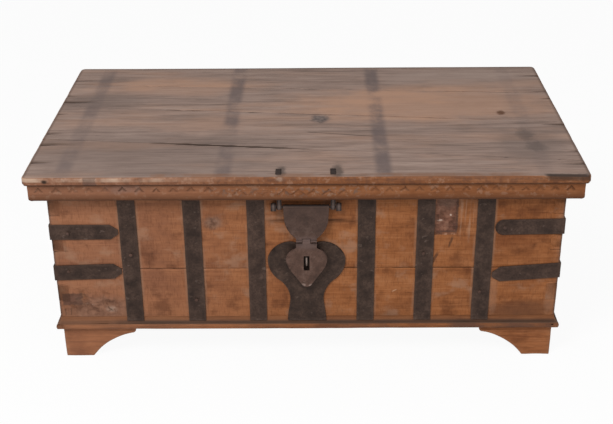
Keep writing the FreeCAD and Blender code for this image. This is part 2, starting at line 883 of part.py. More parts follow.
def hinge_lid_leaf(sign, label):
    """A leaf bent under the back frieze and up its back, with one knuckle."""
    under = "(hinge_bore + side_clear)"
    seat = f"({under} + hinge_leaf)"
    near = "(hinge_knuckle + swing_clear)"
    face = "(half_depth + frieze_out - hinge_out)"
    bend = f"({face} - frieze_round)"
    rise = f"({seat} + frieze_round)"
    top = f"({seat} + frieze_height - hinge_leaf)"
    inner_turn = "(frieze_round * sqrt(0.5))"
    outer_turn = "((frieze_round + hinge_leaf) * sqrt(0.5))"
    leaf = new_body("hinge_lid_leaf")
    section = new_sketch(leaf, "YZ_Plane")
    draw(section, [
        (near, seat),
        (bend, seat),
        Via((f"{bend} + {inner_turn}", f"{rise} - {inner_turn}")),
        (face, rise),
        (face, top),
        (f"{face} + hinge_leaf", top),
        (f"{face} + hinge_leaf", rise),
        Via((f"{bend} + {outer_turn}", f"{rise} - {outer_turn}")),
        (bend, under),
        (near, under),
    ])
    pad(leaf, section, "hinge_width", both_ways=True)
    tab = new_sketch(leaf, "XY_Plane", under)
    tab_half = [
        ("hinge_middle / 2", "hinge_knuckle / 4"),
        ("hinge_middle / 2", near),
    ]
    draw(tab, tab_half + other_side(tab_half))
    pad(leaf, tab, "hinge_leaf")
    ring(leaf, ("0", "0"), "hinge_knuckle", "hinge_bore", "hinge_middle")
    place(leaf, f"{sign} * hinge_spacing / 2", "hinge_out", "hinge_height")
    node(leaf, label)


def hinges():
    pins = []
    for side, sign in (("left", -1), ("right", 1)):
        hinge_case_leaf(sign, f"hinge_case_leaf_{side}")
        hinge_lid_leaf(sign, f"hinge_lid_leaf_{side}")
        pins.append(primitive("Cylinder", {"Radius": "hinge_pin", "Height": "hinge_width"},
                              f"{sign} * hinge_spacing / 2 - hinge_width / 2", "hinge_out",
                              "hinge_height", 90, (0, 1, 0)))
    node(grouped(pins), "hinge_pins")


# Drop handles on the ends

def handle_eyes():
    """Two eyes on each end of the case, their legs driven through the side plank."""
    leg_length = "(wall_thick + handle_stand - handle_bore)"
    eyes = []
    for side_x in (-1, 1):
        ring_x = f"{side_x} * (half_length + handle_stand)"
        leg_x = f"{side_x} * (half_length - wall_thick + {leg_length} / 2) - {leg_length} / 2"
        for side_y in (-1, 1):
            y = f"({side_y} * handle_span / 2)"
            leg = primitive("Box", {
                "Length": leg_length,
                "Width": "eye_width",
                "Height": "2 * eye_iron",
            }, leg_x, f"{y} - eye_width / 2", "handle_height - eye_iron")
            eyes.append(strap_eye("handle_bore", ring_x, f"{y} + eye_width / 2", "handle_height", leg,
                                  90, (1, 0, 0)))
    node(grouped(eyes), "handle_eyes")


def drop_handle(side_x, label):
    """A bail of square iron; its ends turn out, and round pivots on them lie in the eyes."""
    inside = "(1 - sqrt(0.5))"
    turned = "(handle_arm + handle_turn)"
    half = [
        (turned, "0"),
        Via((f"handle_arm + handle_turn * {inside}", f"-handle_turn * {inside}")),
        ("handle_arm", "-handle_turn"),
        ("handle_arm", "-handle_drop + handle_bend"),
        Via((f"handle_arm - handle_bend * {inside}", f"-handle_drop + handle_bend * {inside}")),
        ("handle_arm - handle_bend", "-handle_drop"),
    ]
    handle = new_body(label)
    path = new_sketch(handle, "YZ_Plane")
    draw(path, half + other_side(half), closed=False)
    bar = new_sketch(handle, "XZ_Plane", f"-{turned}")
    draw_box(bar, ("0", "0"), "handle_bar", "handle_bar")
    bail = handle.newObject("PartDesign::AdditivePipe", "bail")
    bail.Profile = bar
    bail.Spine = path
    for sign in (1, -1):
        pivot = new_sketch(handle, "XZ_Plane", f"{-sign} * {turned}")
        draw_circle(pivot, ("0", "0"), "handle_pivot")
        pad(handle, pivot, "eye_width + 2 * side_clear + handle_pivot", backwards=sign > 0)
    place(handle, f"{side_x} * (half_length + handle_stand)", "0", "handle_height")
    node(handle, label)


# Build everything

def build():
    case_walls()
    bottom_boards()
    base_rails()
    bracket_feet()
    foot_blocks()
    front_straps()
    corner_straps()
    lock_plate()
    lock_staple()
    lid_planks()
    lid_frieze()
    lid_battens()
    hasp_eyes()
    hasp_pin()
    hasp_link()
    hasp_neck_pin()
    hasp_heart()
    hinges()
    handle_eyes()
    drop_handle(-1, "drop_handle_left")
    drop_handle(1, "drop_handle_right")
    doc.recompute()


def check():
    """Stop if anything failed, so that no broken piece is written."""
    for thing in doc.Objects:
        if {"Invalid", "Error"} & set(thing.State):
            raise RuntimeError(f"{thing.Label} failed: {thing.State}")
    for thing in NODES:
        if thing.Shape.isNull() or not thing.Shape.isValid() or not thing.Shape.Solids:
            raise RuntimeError(f"{thing.Label} has no valid solid")


def write():
    os.makedirs("parts", exist_ok=True)
    for thing in NODES:
        thing.Shape.exportStep(f"parts/{thing.Label}.step")


build()
check()
write()
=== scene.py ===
import json
import math
import random

import bmesh
import bpy
from mathutils import Matrix, Vector, noise

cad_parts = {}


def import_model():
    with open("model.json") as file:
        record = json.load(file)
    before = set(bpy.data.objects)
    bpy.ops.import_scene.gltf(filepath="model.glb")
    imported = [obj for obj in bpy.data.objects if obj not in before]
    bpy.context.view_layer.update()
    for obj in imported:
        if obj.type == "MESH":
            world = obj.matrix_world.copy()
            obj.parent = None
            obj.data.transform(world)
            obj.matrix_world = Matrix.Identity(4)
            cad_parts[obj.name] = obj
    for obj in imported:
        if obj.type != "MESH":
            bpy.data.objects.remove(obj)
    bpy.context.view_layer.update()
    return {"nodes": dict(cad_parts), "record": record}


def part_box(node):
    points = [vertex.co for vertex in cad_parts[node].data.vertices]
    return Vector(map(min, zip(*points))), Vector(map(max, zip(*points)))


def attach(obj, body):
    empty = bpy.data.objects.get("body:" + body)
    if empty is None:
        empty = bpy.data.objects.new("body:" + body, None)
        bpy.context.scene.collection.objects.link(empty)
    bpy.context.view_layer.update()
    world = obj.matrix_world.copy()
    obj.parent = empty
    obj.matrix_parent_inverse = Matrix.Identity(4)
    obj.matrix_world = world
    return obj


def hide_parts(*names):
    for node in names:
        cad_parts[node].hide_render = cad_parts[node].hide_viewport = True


# An old iron-bound plank chest: worn wood, carved frieze, hammered iron. Metres, in the frame of the solids.

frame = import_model()
nodes = frame["nodes"]
body_of_node = {
    node: body for body, members in frame["record"]["behaviour"]["bodies"].items() for node in members
}
slot_of_node = {row["node"]: row["material_slot"] for row in frame["record"]["subparts"]}

X, Y, Z = 0, 1, 2

# Heights and faces that several looks refer to
FRONT_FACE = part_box("front_upper_plank")[0].y
CASE_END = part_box("front_upper_plank")[1].x
BASE_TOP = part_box("front_lower_plank")[0].z
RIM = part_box("front_upper_plank")[1].z
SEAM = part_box("front_lower_plank")[1].z
LID_LOW, LID_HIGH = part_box("lid_plank_1")
LID_TOP = LID_HIGH.z
LID_FRONT = LID_LOW.y
LID_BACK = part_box("lid_plank_4")[1].y
FRIEZE_LOW, FRIEZE_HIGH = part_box("lid_frieze_front")
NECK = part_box("hasp_neck_pin")[0].z
HEART_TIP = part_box("hasp_heart")[0]
LINK_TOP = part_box("hasp_link")[1].z
STRAPS = [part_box(f"front_strap_{number}") for number in range(1, 7)]
STRAP_CENTRES = [(low.x + high.x) / 2 for low, high in STRAPS]


# Dense, worn copies of the solids

MERGE = 0.00001
FLAT = math.radians(1.5)
SHARP = math.radians(35)


def cut_across(shape, faces, axis, level):
    """Cut some faces with a plane that stands across one axis."""
    parts = set(faces)
    for face in faces:
        parts.update(face.edges)
        parts.update(face.verts)
    across = Vector((axis == X, axis == Y, axis == Z))
    bmesh.ops.bisect_plane(shape, geom=list(parts), plane_co=across * level, plane_no=across)


def faces_within(shape, low, high):
    """The faces whose middle lies in a box."""
    found = []
    for face in shape.faces:
        middle = face.calc_center_bounds()
        if all(low[axis] <= middle[axis] <= high[axis] for axis in (X, Y, Z)):
            found.append(face)
    return found


def nowhere(place):
    return False


def dense(node, steps, edge, butted):
    """A copy of a solid, cut into a grid fine enough to wear, with its edges rounded except where butted."""
    shape = bmesh.new()
    shape.from_mesh(nodes[node].data)
    bmesh.ops.remove_doubles(shape, verts=shape.verts, dist=MERGE)
    bmesh.ops.dissolve_limit(shape, angle_limit=FLAT, verts=shape.verts, edges=shape.edges)
    sharp = [line for line in shape.edges if line.is_manifold and line.calc_face_angle() > SHARP
             and not all(butted(vert.co) for vert in line.verts)]
    bmesh.ops.bevel(shape, geom=sharp, offset=edge, segments=2, profile=0.5, affect="EDGES",
                    clamp_overlap=True)
    low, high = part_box(node)
    for axis, step in enumerate(steps):
        cuts = round((high[axis] - low[axis]) / step) if step else 0
        for cut in range(1, cuts):
            cut_across(shape, shape.faces[:], axis, low.lerp(high, cut / cuts)[axis])
    shape.verts.layers.float.new("edge")
    shape.verts.layers.float.new("dirt")
    shape.normal_update()
    return shape


def streak(place, along, lengthwise, crosswise, seed):
    """Noise from -1 to 1 that runs in streaks along one axis; the two counts are per metre."""
    scaled = place * crosswise
    scaled[along] = place[along] * lengthwise
    return noise.noise(scaled + Vector((seed * 3.7, seed * 1.9, seed * 5.3)))


def roundness(vert):
    """How far a point lies on an outward edge, from 0 on a flat to 1 on a corner."""
    turn = sum(max(0.0, line.calc_face_angle_signed()) for line in vert.link_edges if line.is_manifold)
    return min(1.0, turn / 1.2)


def wear(shape, grain, seed, ripple, sway, loss, proud=0.0, butted=nowhere):
    """Sink the surface in streaks along the grain, more along free edges; proud wood stands out as often."""
    edge_layer = shape.verts.layers.float["edge"]
    moved = []
    for vert in shape.verts:
        place = vert.co
        on_edge = roundness(vert)
        if on_edge > 0.3 and butted(place):
            continue
        level = 0.5 - (0.0 if vert.normal.z < -0.5 else proud)
        fine = level + 0.5 * streak(place, grain, 6, 90, seed)
        broad = level + 0.5 * streak(place, grain, 2.5, 9, seed + 1)
        bite = max(0.0, streak(place, grain, 16, 30, seed + 2) - 0.05) * on_edge
        moved.append((vert, place - vert.normal * (ripple * fine + sway * broad + loss * bite)))
        vert[edge_layer] = on_edge
    for vert, place in moved:
        vert.co = place


def from_left(share):
    return 1.0 - share


def from_right(share):
    return share


def in_middle(share):
    return math.sin(math.pi * share)


def groove(shape, out, across, level, start, stop, half_width, depth, swell):
    """A crack along X between two places, at a level across the grain, on the face that looks outwards."""
    dirt_layer = shape.verts.layers.float["dirt"]
    low = Vector((start, -1.0, -1.0))
    high = Vector((stop, 1.0, 1.0))
    low[across] = level - 0.012
    high[across] = level + 0.012
    for shift in (-half_width, 0.0, half_width):
        facing = [face for face in faces_within(shape, low, high) if face.normal.dot(out) > 0.5]
        cut_across(shape, facing, across, level + shift)
    for vert in shape.verts:
        share = (vert.co.x - start) / (stop - start)
        aside = abs(vert.co[across] - level) / half_width
        if aside < 1.5 and 0.0 <= share <= 1.0 and vert.normal.dot(out) > 0.5:
            opened = swell(share)
            vert.co -= out * depth * opened * (1.0 if aside < 0.5 else 0.4)
            vert.co[across] += half_width * noise.noise(vert.co * 40)
            vert[dirt_layer] = min(1.0, 1.3 * opened) * (1.0 if aside < 0.5 else 0.65)
    shape.normal_update()


def rough_patch(shape, low, high, step, depth, count, dirt, seed):
    """A broken, knotty place on the front: cut finer, then sunk unevenly, fading towards its border."""
    dirt_layer = shape.verts.layers.float["dirt"]
    for axis in (X, Z):
        cuts = round((high[axis] - low[axis]) / step)
        for cut in range(cuts + 1):
            facing = [face for face in faces_within(shape, low, high) if face.normal.y < -0.5]
            cut_across(shape, facing, axis, low.lerp(high, cut / cuts)[axis])
    middle = (low + high) / 2
    half = (high - low) / 2
    for vert in shape.verts:
        aside = max(abs(vert.co[axis] - middle[axis]) / half[axis] for axis in (X, Z))
        if aside < 1.0 and vert.normal.y < -0.3:
            fade = min(1.0, 3.0 * (1.0 - aside))
            lumps = noise.fractal(vert.co * count + Vector((seed, seed, seed)), 0.8, 2.1, 4)
            hollow = max(0.0, 0.35 + lumps) * fade
            vert.co.y += depth * hollow
            vert[dirt_layer] = max(vert[dirt_layer], min(1.0, dirt * hollow))
    shape.normal_update()


def piece(shape, name, body, paint, replaced=()):
    """Turn a shape into an object that rides on a body and stands for its solids."""
    mesh = bpy.data.meshes.new(name)
    shape.to_mesh(mesh)
    shape.free()
    for face in mesh.polygons:
        face.use_smooth = True
    mesh.set_sharp_from_angle(angle=math.radians(50))
    mesh.materials.append(paint)
    made = bpy.data.objects.new(name, mesh)
    bpy.context.scene.collection.objects.link(made)
    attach(made, body)
    if replaced:
        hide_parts(*replaced)
    return made


def worn_piece(node, steps, edge, grain, seed, paint, ripple, sway=0.0, loss=0.0, proud=0.0,
               butted=nowhere, extra=()):
    """A worn copy of one solid, which takes its place."""
    shape = dense(node, steps, edge, butted)
    for change in extra:
        change(shape)
    wear(shape, grain, seed, ripple, sway, loss, proud, butted)
    return piece(shape, f"worn_{node}", body_of_node[node], paint, [node])


# Materials

class Paint:
    """A material worked out from a piece's own coordinates."""

    def __init__(self, name, metallic=0.0, shine=0.5):
        self.material = bpy.data.materials.new(name)
        self.material.use_nodes = True
        self.tree = self.material.node_tree
        self.shader = self.tree.nodes["Principled BSDF"]
        self.shader.inputs["Metallic"].default_value = metallic
        self.shader.inputs["Specular IOR Level"].default_value = shine
        self.place = self.add("ShaderNodeTexCoord").outputs["Object"]
        self.parts = self.add("ShaderNodeSeparateXYZ", {"Vector": self.place}).outputs
        self.edge = self.add("ShaderNodeAttribute", attribute_name="edge").outputs["Fac"]
        self.dirt = self.add("ShaderNodeAttribute", attribute_name="dirt").outputs["Fac"]
        self.chance = self.add("ShaderNodeObjectInfo").outputs["Random"]
        spread = {0: self.chance, 1: (31.0, 17.0, 23.0)}
        self.shift = self.add("ShaderNodeVectorMath", spread, operation="MULTIPLY")

    def add(self, kind, values=None, **settings):
        node = self.tree.nodes.new(kind)
        for name, setting in settings.items():
            setattr(node, name, setting)
        for socket, value in (values or {}).items():
            if isinstance(value, bpy.types.NodeSocket):
                self.tree.links.new(value, node.inputs[socket])
            else:
                node.inputs[socket].default_value = value
        return node

    def math(self, operation, first, second=0.0, clamp=False):
        node = self.add("ShaderNodeMath", {0: first, 1: second}, operation=operation, use_clamp=clamp)
        return node.outputs[0]

    def step(self, value, low, high):
        """Smoothly from 0 at low to 1 at high."""
        values = {"Value": value, "From Min": low, "From Max": high}
        return self.add("ShaderNodeMapRange", values, interpolation_type="SMOOTHSTEP").outputs["Result"]

    def scaled(self, value, low, high):
        """Spread a value from 0 to 1 between two others."""
        values = {"Value": value, "To Min": low, "To Max": high}
        return self.add("ShaderNodeMapRange", values).outputs["Result"]

    def noise(self, counts, detail=3.0, rough=0.55, bend=0.0, varied=True):
        """Noise from about 0 to 1, with so many waves per metre along X, Y and Z."""
        spread = {0: self.place, 1: counts}
        vector = self.add("ShaderNodeVectorMath", spread, operation="MULTIPLY").outputs[0]
        if varied:
            shifted = {0: vector, 1: self.shift.outputs[0]}
            vector = self.add("ShaderNodeVectorMath", shifted, operation="ADD").outputs[0]
        values = {"Vector": vector, "Scale": 1.0, "Detail": detail, "Roughness": rough, "Distortion": bend}
        return self.add("ShaderNodeTexNoise", values).outputs["Fac"]

    def ramp(self, value, *stops):
        """Colours spread along a value, as (position, colour) pairs."""
        node = self.add("ShaderNodeValToRGB", {"Fac": value})
        band = node.color_ramp.elements
        while len(band) < len(stops):
            band.new(0.5)
        for element, (position, colour) in zip(band, stops):
            element.position = position
            element.color = (*colour, 1.0)
        return node.outputs["Color"]

    def blend(self, share, first, second, mode="MIX"):
        """Lay a second colour over a first by a share."""
        node = self.add("ShaderNodeMix", data_type="RGBA", blend_type=mode, clamp_factor=True)
        for index, value in ((0, share), (6, first), (7, second)):
            if isinstance(value, bpy.types.NodeSocket):
                self.tree.links.new(value, node.inputs[index])
            else:
                node.inputs[index].default_value = value if index == 0 else (*value, 1.0)
        return node.outputs[2]

    def near(self, axis, centre, half, soft):
        """1 within a half width of a place along one axis, fading to 0 over a soft margin."""
        off = self.math("ABSOLUTE", self.math("SUBTRACT", self.parts[axis], centre))
        return self.math("SUBTRACT", 1.0, self.step(off, half, half + soft))

    def spot(self, centre, radii, roughen=None):
        """1 at the middle of a rounded patch, 0 outside it."""
        away = self.add("ShaderNodeVectorMath", {0: self.place, 1: centre}, operation="SUBTRACT").outputs[0]
        shares = self.add("ShaderNodeVectorMath", {0: away, 1: radii}, operation="DIVIDE").outputs[0]
        reach = self.add("ShaderNodeVectorMath", {0: shares}, operation="LENGTH").outputs["Value"]
        if roughen is not None:
            reach = self.math("ADD", reach, roughen)
        return self.math("SUBTRACT", 1.0, self.step(reach, 0.35, 1.0))

    def panel(self, axes, centre, half, roughen):
        """1 within a squarish patch on the plane of two axes, 0 outside its ragged border."""
        reaches = []
        for axis, place, reach in zip(axes, centre, half):
            off = self.math("ABSOLUTE", self.math("SUBTRACT", self.parts[axis], place))
            reaches.append(self.math("DIVIDE", off, reach))
        border = self.math("ADD", self.largest(reaches), roughen)
        return self.math("SUBTRACT", 1.0, self.step(border, 0.86, 1.08))

    def scratch(self, axes, start, end, half, roughen):
        """1 along a line on the plane of two axes, 0 beyond a half width that the roughening bends."""
        length = math.hypot(end[0] - start[0], end[1] - start[1])
        unit = ((end[0] - start[0]) / length, (end[1] - start[1]) / length)
        offs = [self.math("SUBTRACT", self.parts[axis], place) for axis, place in zip(axes, start)]
        along = self.math("ADD", self.math("MULTIPLY", offs[0], unit[0]),
                          self.math("MULTIPLY", offs[1], unit[1]))
        aside = self.math("SUBTRACT", self.math("MULTIPLY", offs[1], unit[0]),
                          self.math("MULTIPLY", offs[0], unit[1]))
        aside = self.math("ADD", aside, self.math("MULTIPLY", roughen, half))
        across = self.math("SUBTRACT", 1.0, self.step(self.math("ABSOLUTE", aside), half * 0.4, half))
        begun = self.step(along, 0.0, half * 3)
        ended = self.math("SUBTRACT", 1.0, self.step(along, length - half * 3, length))
        return self.math("MULTIPLY", across, self.math("MULTIPLY", begun, ended))

    def over(self, colour, share, mask, second):
        """Lay a second colour over a first where a mask says, by a share of it."""
        return self.blend(self.math("MULTIPLY", mask, share), colour, second)

    def largest(self, values):
        top = values[0]
        for value in values[1:]:
            top = self.math("MAXIMUM", top, value)
        return top

    def finish(self, colour, rough, height, relief):
        """Join colour, roughness and relief to the shader."""
        links = self.tree.links
        links.new(colour, self.shader.inputs["Base Color"])
        links.new(rough, self.shader.inputs["Roughness"])
        bump = self.add("ShaderNodeBump", {"Height": height, "Strength": 1.0, "Distance": relief})
        links.new(bump.outputs["Normal"], self.shader.inputs["Normal"])
        return self.material


def along_grain(grain, lengthwise, crosswise):
    """Waves per metre along X, Y and Z for a grain that runs along one axis."""
    return tuple(lengthwise if axis == grain else crosswise for axis in (X, Y, Z))


def wood_figure(paint, grain, dark, middle, light, flecks=26):
    """The figure of old wood: drifts, bands, fibres, flecks and pores. Gives colour and height."""
    drift = paint.noise(along_grain(grain, 0.9, 7), detail=3, rough=0.5, bend=0.4)
    bands = paint.noise(along_grain(grain, 1.9, 46), detail=5, rough=0.62, bend=1.1)
    fibres = paint.noise(along_grain(grain, 9, 330), detail=3, rough=0.7)
    mottle = paint.noise(along_grain(grain, flecks, 52), detail=4, rough=0.6)
    pores = paint.step(paint.noise(along_grain(grain, 24, 640), detail=2), 0.62, 0.74)
    tone = paint.math("MULTIPLY", drift, 0.18)
    for layer, share in ((bands, 0.24), (fibres, 0.30), (mottle, 0.28)):
        tone = paint.math("ADD", tone, paint.math("MULTIPLY", layer, share))
    colour = paint.ramp(tone, (0.35, dark), (0.50, middle), (0.65, light))
    colour = paint.blend(paint.math("MULTIPLY", pores, 0.4), colour, dark)
    height = paint.math("SUBTRACT", tone, paint.math("MULTIPLY", pores, 0.3))
    return colour, height


# Case, base and inside wood

WAX_DARK = (0.150, 0.048, 0.014)
WAX_MIDDLE = (0.262, 0.092, 0.030)
WAX_LIGHT = (0.350, 0.142, 0.056)
FADED = (0.285, 0.135, 0.085)
DUST = (0.310, 0.175, 0.110)
GRIME_AND_SHADE = (0.036, 0.020, 0.013)
BARE = (0.210, 0.125, 0.070)
WOOD_SHINE = 0.16


def case_wood(name, grain, marks=None):
    paint = Paint(name, shine=WOOD_SHINE)
    colour, height = wood_figure(paint, grain, WAX_DARK, WAX_MIDDLE, WAX_LIGHT)
    uneven = paint.noise((9, 9, 9), detail=5, rough=0.62)
    colour = paint.blend(paint.step(uneven, 0.42, 0.70), colour, (0.66, 0.60, 0.58), "MULTIPLY")
    if marks:
        colour = marks(paint, colour, uneven)
    # Lighter along the rounded edges: wear and a painted highlight.
    colour = paint.blend(paint.math("MULTIPLY", paint.edge, 0.25), colour, DUST)
    inside = paint.math("MULTIPLY", paint.near(X, 0.0, 0.5185, 0.001), paint.near(Y, 0.0, 0.2735, 0.001))
    colour = paint.blend(paint.math("MULTIPLY", inside, 0.7), colour, BARE)
    colour = paint.blend(paint.math("MULTIPLY", paint.dirt, 0.85), colour, GRIME_AND_SHADE)
    rough = paint.scaled(uneven, 0.55, 0.75)
    return paint.finish(colour, rough, height, 0.0008)


def finger_marks(paint, colour, uneven):
    """The front's marks, where the ends of the side planks show in it."""
    outside = paint.step(paint.math("MULTIPLY", paint.parts[Y], -1.0), 0.29, 0.2955)
    return paint.blend(outside, colour, front_marks(paint, colour, uneven))


def front_marks(paint, colour, uneven):
    """Fine cross marks, smudges, dust by the straps, a knot, a patch, a broken corner, soot; a painted shadow
    under the frieze and painted shade down the dark edges at the case's ends.
    """
    front = (X, Z)
    speckle = paint.noise((70, 70, 70), detail=4, rough=0.65)
    frayed = paint.math("MULTIPLY", paint.math("SUBTRACT", uneven, 0.5), 1.8)
    ragged = paint.math("MULTIPLY", paint.math("SUBTRACT", speckle, 0.5), 0.9)
    outside = paint.step(paint.math("MULTIPLY", paint.parts[Y], -1.0), 0.29, 0.2955)
    leftwards = paint.step(paint.math("MULTIPLY", paint.parts[X], -1.0), -0.10, 0.50)
    colour = paint.over(colour, 0.45, paint.math("MULTIPLY", leftwards, outside), FADED)
    ticks = paint.noise((380, 60, 60), detail=3, rough=0.65)
    colour = paint.blend(paint.step(ticks, 0.48, 0.68), colour, (0.80, 0.77, 0.75), "MULTIPLY")
    smudges = paint.noise((16, 16, 22), detail=4, rough=0.6)
    colour = paint.over(colour, 0.50, paint.step(smudges, 0.53, 0.70), DUST)
    sooty = paint.math("SUBTRACT", 1.0, paint.step(smudges, 0.30, 0.46))
    colour = paint.blend(sooty, colour, (0.64, 0.60, 0.58), "MULTIPLY")
    beside = [paint.near(X, centre, 0.0195, 0.006) for centre in STRAP_CENTRES]
    dust = paint.math("MULTIPLY", paint.largest(beside), outside)
    colour = paint.over(colour, 0.6, paint.math("MULTIPLY", dust, paint.step(uneven, 0.36, 0.66)), DUST)
    colour = knot_mark(paint, colour, speckle, ragged)
    colour = let_in_mark(paint, colour, front, speckle, ragged)
    colour = corner_mark(paint, colour, front, speckle, ragged, frayed)
    colour = end_panel_mark(paint, colour, ragged, frayed)
    scuff = paint.scratch(front, (0.183, 0.165), (0.196, 0.172), 0.0018, ragged)
    colour = paint.over(colour, 0.6, scuff, (0.480, 0.300, 0.190))
    # Painted shadow: a dark band on the front just under the frieze, between the hasp's eyes.
    frieze_shadow = paint.scratch(front, (-0.054, 0.3825), (0.054, 0.3825), 0.0035, ragged)
    colour = paint.over(colour, 0.35, frieze_shadow, (0.090, 0.030, 0.014))
    low = paint.math("SUBTRACT", 1.0, paint.step(paint.parts[Z], BASE_TOP, BASE_TOP + 0.045))
    grime = paint.math("MULTIPLY", low, paint.step(uneven, 0.35, 0.75))
    colour = paint.over(colour, 0.5, grime, (0.110, 0.050, 0.026))
    # Painted shade: dark strips down the front at the case's end corners.
    corner_shade = [paint.near(X, side * CASE_END, 0.0025, 0.0035) for side in (-1, 1)]
    return paint.over(colour, 0.55, paint.largest(corner_shade), (0.050, 0.034, 0.030))


def knot_mark(paint, colour, speckle, ragged):
    """A grey, broken knot beside the second strap."""
    knot = paint.spot((-0.196, FRONT_FACE, 0.335), (0.030, 0.05, 0.022), ragged)
    shade = paint.ramp(speckle, (0.38, (0.068, 0.038, 0.028)), (0.50, (0.138, 0.080, 0.056)),
                       (0.62, (0.188, 0.114, 0.082)))
    return paint.over(colour, 0.75, knot, shade)


def let_in_mark(paint, colour, front, speckle, ragged):
    """The chipped, reddish patch beside the fifth strap with pale flecks, cracks below, pale wood beside."""
    upright = paint.step(paint.noise((190, 60, 9), detail=3, rough=0.6), 0.42, 0.62)
    bleached = paint.spot((0.338, FRONT_FACE, 0.358), (0.026, 0.05, 0.085), ragged)
    colour = paint.over(colour, 0.5, paint.math("MULTIPLY", bleached, upright), (0.360, 0.215, 0.140))
    patch = paint.panel(front, (0.2935, 0.354), (0.0235, 0.046), ragged)
    broken = paint.ramp(speckle, (0.34, (0.055, 0.026, 0.020)), (0.48, (0.125, 0.055, 0.040)),
                        (0.64, (0.210, 0.108, 0.076)))
    colour = paint.over(colour, 0.8, patch, broken)
    greyed = paint.spot((0.296, FRONT_FACE, 0.388), (0.030, 0.05, 0.030), ragged)
    colour = paint.over(colour, 0.5, greyed, (0.200, 0.120, 0.088))
    border = [paint.scratch(front, (0.3165, 0.402), (0.3165, 0.306), 0.0034, ragged),
              paint.scratch(front, (0.270, 0.3120), (0.3195, 0.3120), 0.0030, ragged)]
    colour = paint.over(colour, 0.65, paint.largest(border), (0.060, 0.030, 0.022))
    fringe = paint.scratch(front, (0.272, 0.3065), (0.318, 0.3065), 0.0026, ragged)
    colour = paint.over(colour, 0.5, paint.math("MULTIPLY", fringe, paint.step(speckle, 0.42, 0.58)),
                        (0.450, 0.330, 0.260))
    flecks = [paint.spot((0.281, FRONT_FACE, 0.338), (0.008, 0.05, 0.0028), ragged),
              paint.spot((0.303, FRONT_FACE, 0.351), (0.0030, 0.05, 0.0030), ragged)]
    colour = paint.over(colour, 0.75, paint.largest(flecks), (0.520, 0.400, 0.330))
    cracks = [paint.scratch(front, (0.281, 0.266), (0.266, 0.229), 0.0042, ragged),
              paint.scratch(front, (0.311, 0.304), (0.301, 0.270), 0.0034, ragged)]
    return paint.over(colour, 0.7, paint.largest(cracks), (0.060, 0.026, 0.014))


def corner_mark(paint, colour, front, speckle, ragged, frayed):
    """The knotty lower left corner: a dark block of end grain, stained wood round it and pale chips."""
    stained = paint.spot((-0.462, FRONT_FACE, 0.124), (0.105, 0.05, 0.048), frayed)
    mottled = paint.ramp(speckle, (0.36, (0.085, 0.042, 0.030)), (0.62, (0.230, 0.120, 0.080)))
    colour = paint.over(colour, 0.7, stained, mottled)
    block = paint.panel(front, (-0.512, 0.148), (0.022, 0.0150), ragged)
    colour = paint.over(colour, 0.75, block, (0.092, 0.046, 0.033))
    chips = [paint.spot((-0.501, FRONT_FACE, 0.130), (0.014, 0.05, 0.0060), ragged),
             paint.spot((-0.428, FRONT_FACE, 0.123), (0.018, 0.05, 0.011), ragged),
             paint.scratch(front, (-0.488, 0.137), (-0.462, 0.134), 0.0024, ragged)]
    chip = paint.math("MULTIPLY", paint.largest(chips), paint.step(speckle, 0.42, 0.60))
    colour = paint.over(colour, 0.5, chip, (0.370, 0.270, 0.210))
    cuts = [paint.scratch(front, (-0.4385, 0.131), (-0.424, 0.117), 0.0018, ragged),
            paint.scratch(front, (-0.530, 0.126), (-0.530, 0.106), 0.0014, ragged),
            paint.scratch(front, (-0.518, 0.126), (-0.518, 0.106), 0.0014, ragged)]
    return paint.over(colour, 0.6, paint.largest(cuts), GRIME_AND_SHADE)


def end_panel_mark(paint, colour, ragged, frayed):
    """The right end of the front: a sooty band low down, dust beside the last strap and by the corner."""
    soot = paint.spot((0.466, FRONT_FACE, 0.112), (0.090, 0.05, 0.036), frayed)
    colour = paint.over(colour, 0.6, soot, (0.100, 0.040, 0.020))
    dusty = [paint.spot((0.403, FRONT_FACE, 0.150), (0.014, 0.05, 0.070), ragged),
             paint.spot((0.5275, FRONT_FACE, 0.148), (0.015, 0.05, 0.055), ragged)]
    return paint.over(colour, 0.24, paint.largest(dusty), (0.330, 0.195, 0.130))


def base_marks(paint, colour, uneven):
    """Dirt and painted shade that deepen down the cove of the base rails and stop at the nose; scuffed nose;
    feet painted paler as painted light.
    """
    # Painted light: the feet are painted paler, as if lit as fully as the front.
    foot = paint.math("SUBTRACT", 1.0, paint.step(paint.parts[Z], 0.070, 0.078))
    colour = paint.blend(foot, colour, (1.16, 1.20, 1.33), "MULTIPLY")
    streaks = paint.noise((9, 9, 130), detail=5, rough=0.68)
    colour = paint.blend(paint.step(streaks, 0.44, 0.66), colour, (0.70, 0.66, 0.64), "MULTIPLY")
    leftwards = paint.math("MULTIPLY", paint.parts[X], -1.0)
    colour = paint.over(colour, 0.32, paint.step(leftwards, -0.10, 0.50), FADED)
    nose = paint.near(Z, 0.084, 0.005, 0.003)
    scuffed = paint.math("MULTIPLY", nose, paint.step(uneven, 0.30, 0.56))
    rightwards = paint.scaled(paint.step(paint.parts[X], 0.02, 0.16), 0.35, 1.0)
    colour = paint.over(colour, 0.9, paint.math("MULTIPLY", scuffed, rightwards), (0.100, 0.046, 0.028))
    # Painted shade with dirt: darker down the cove just above the nose, weaker at the far left.
    above = paint.step(paint.parts[Z], 0.0885, 0.0905)
    shallow = paint.math("SUBTRACT", 1.0, paint.step(paint.parts[Z], 0.0980, 0.1160))
    colour = paint.over(colour, 0.55, paint.math("MULTIPLY", shallow, above), (0.110, 0.048, 0.024))
    deep = paint.math("SUBTRACT", 1.0, paint.step(paint.parts[Z], 0.0930, 0.0990))
    cove = paint.math("MULTIPLY", deep, above)
    dusty = paint.scaled(paint.step(leftwards, 0.36, 0.44), 1.0, 0.45)
    cove = paint.math("MULTIPLY", cove, dusty)
    return paint.over(colour, 0.95, paint.math("MULTIPLY", cove, paint.scaled(uneven, 0.7, 1.1)), GRIME_AND_SHADE)


# Lid wood

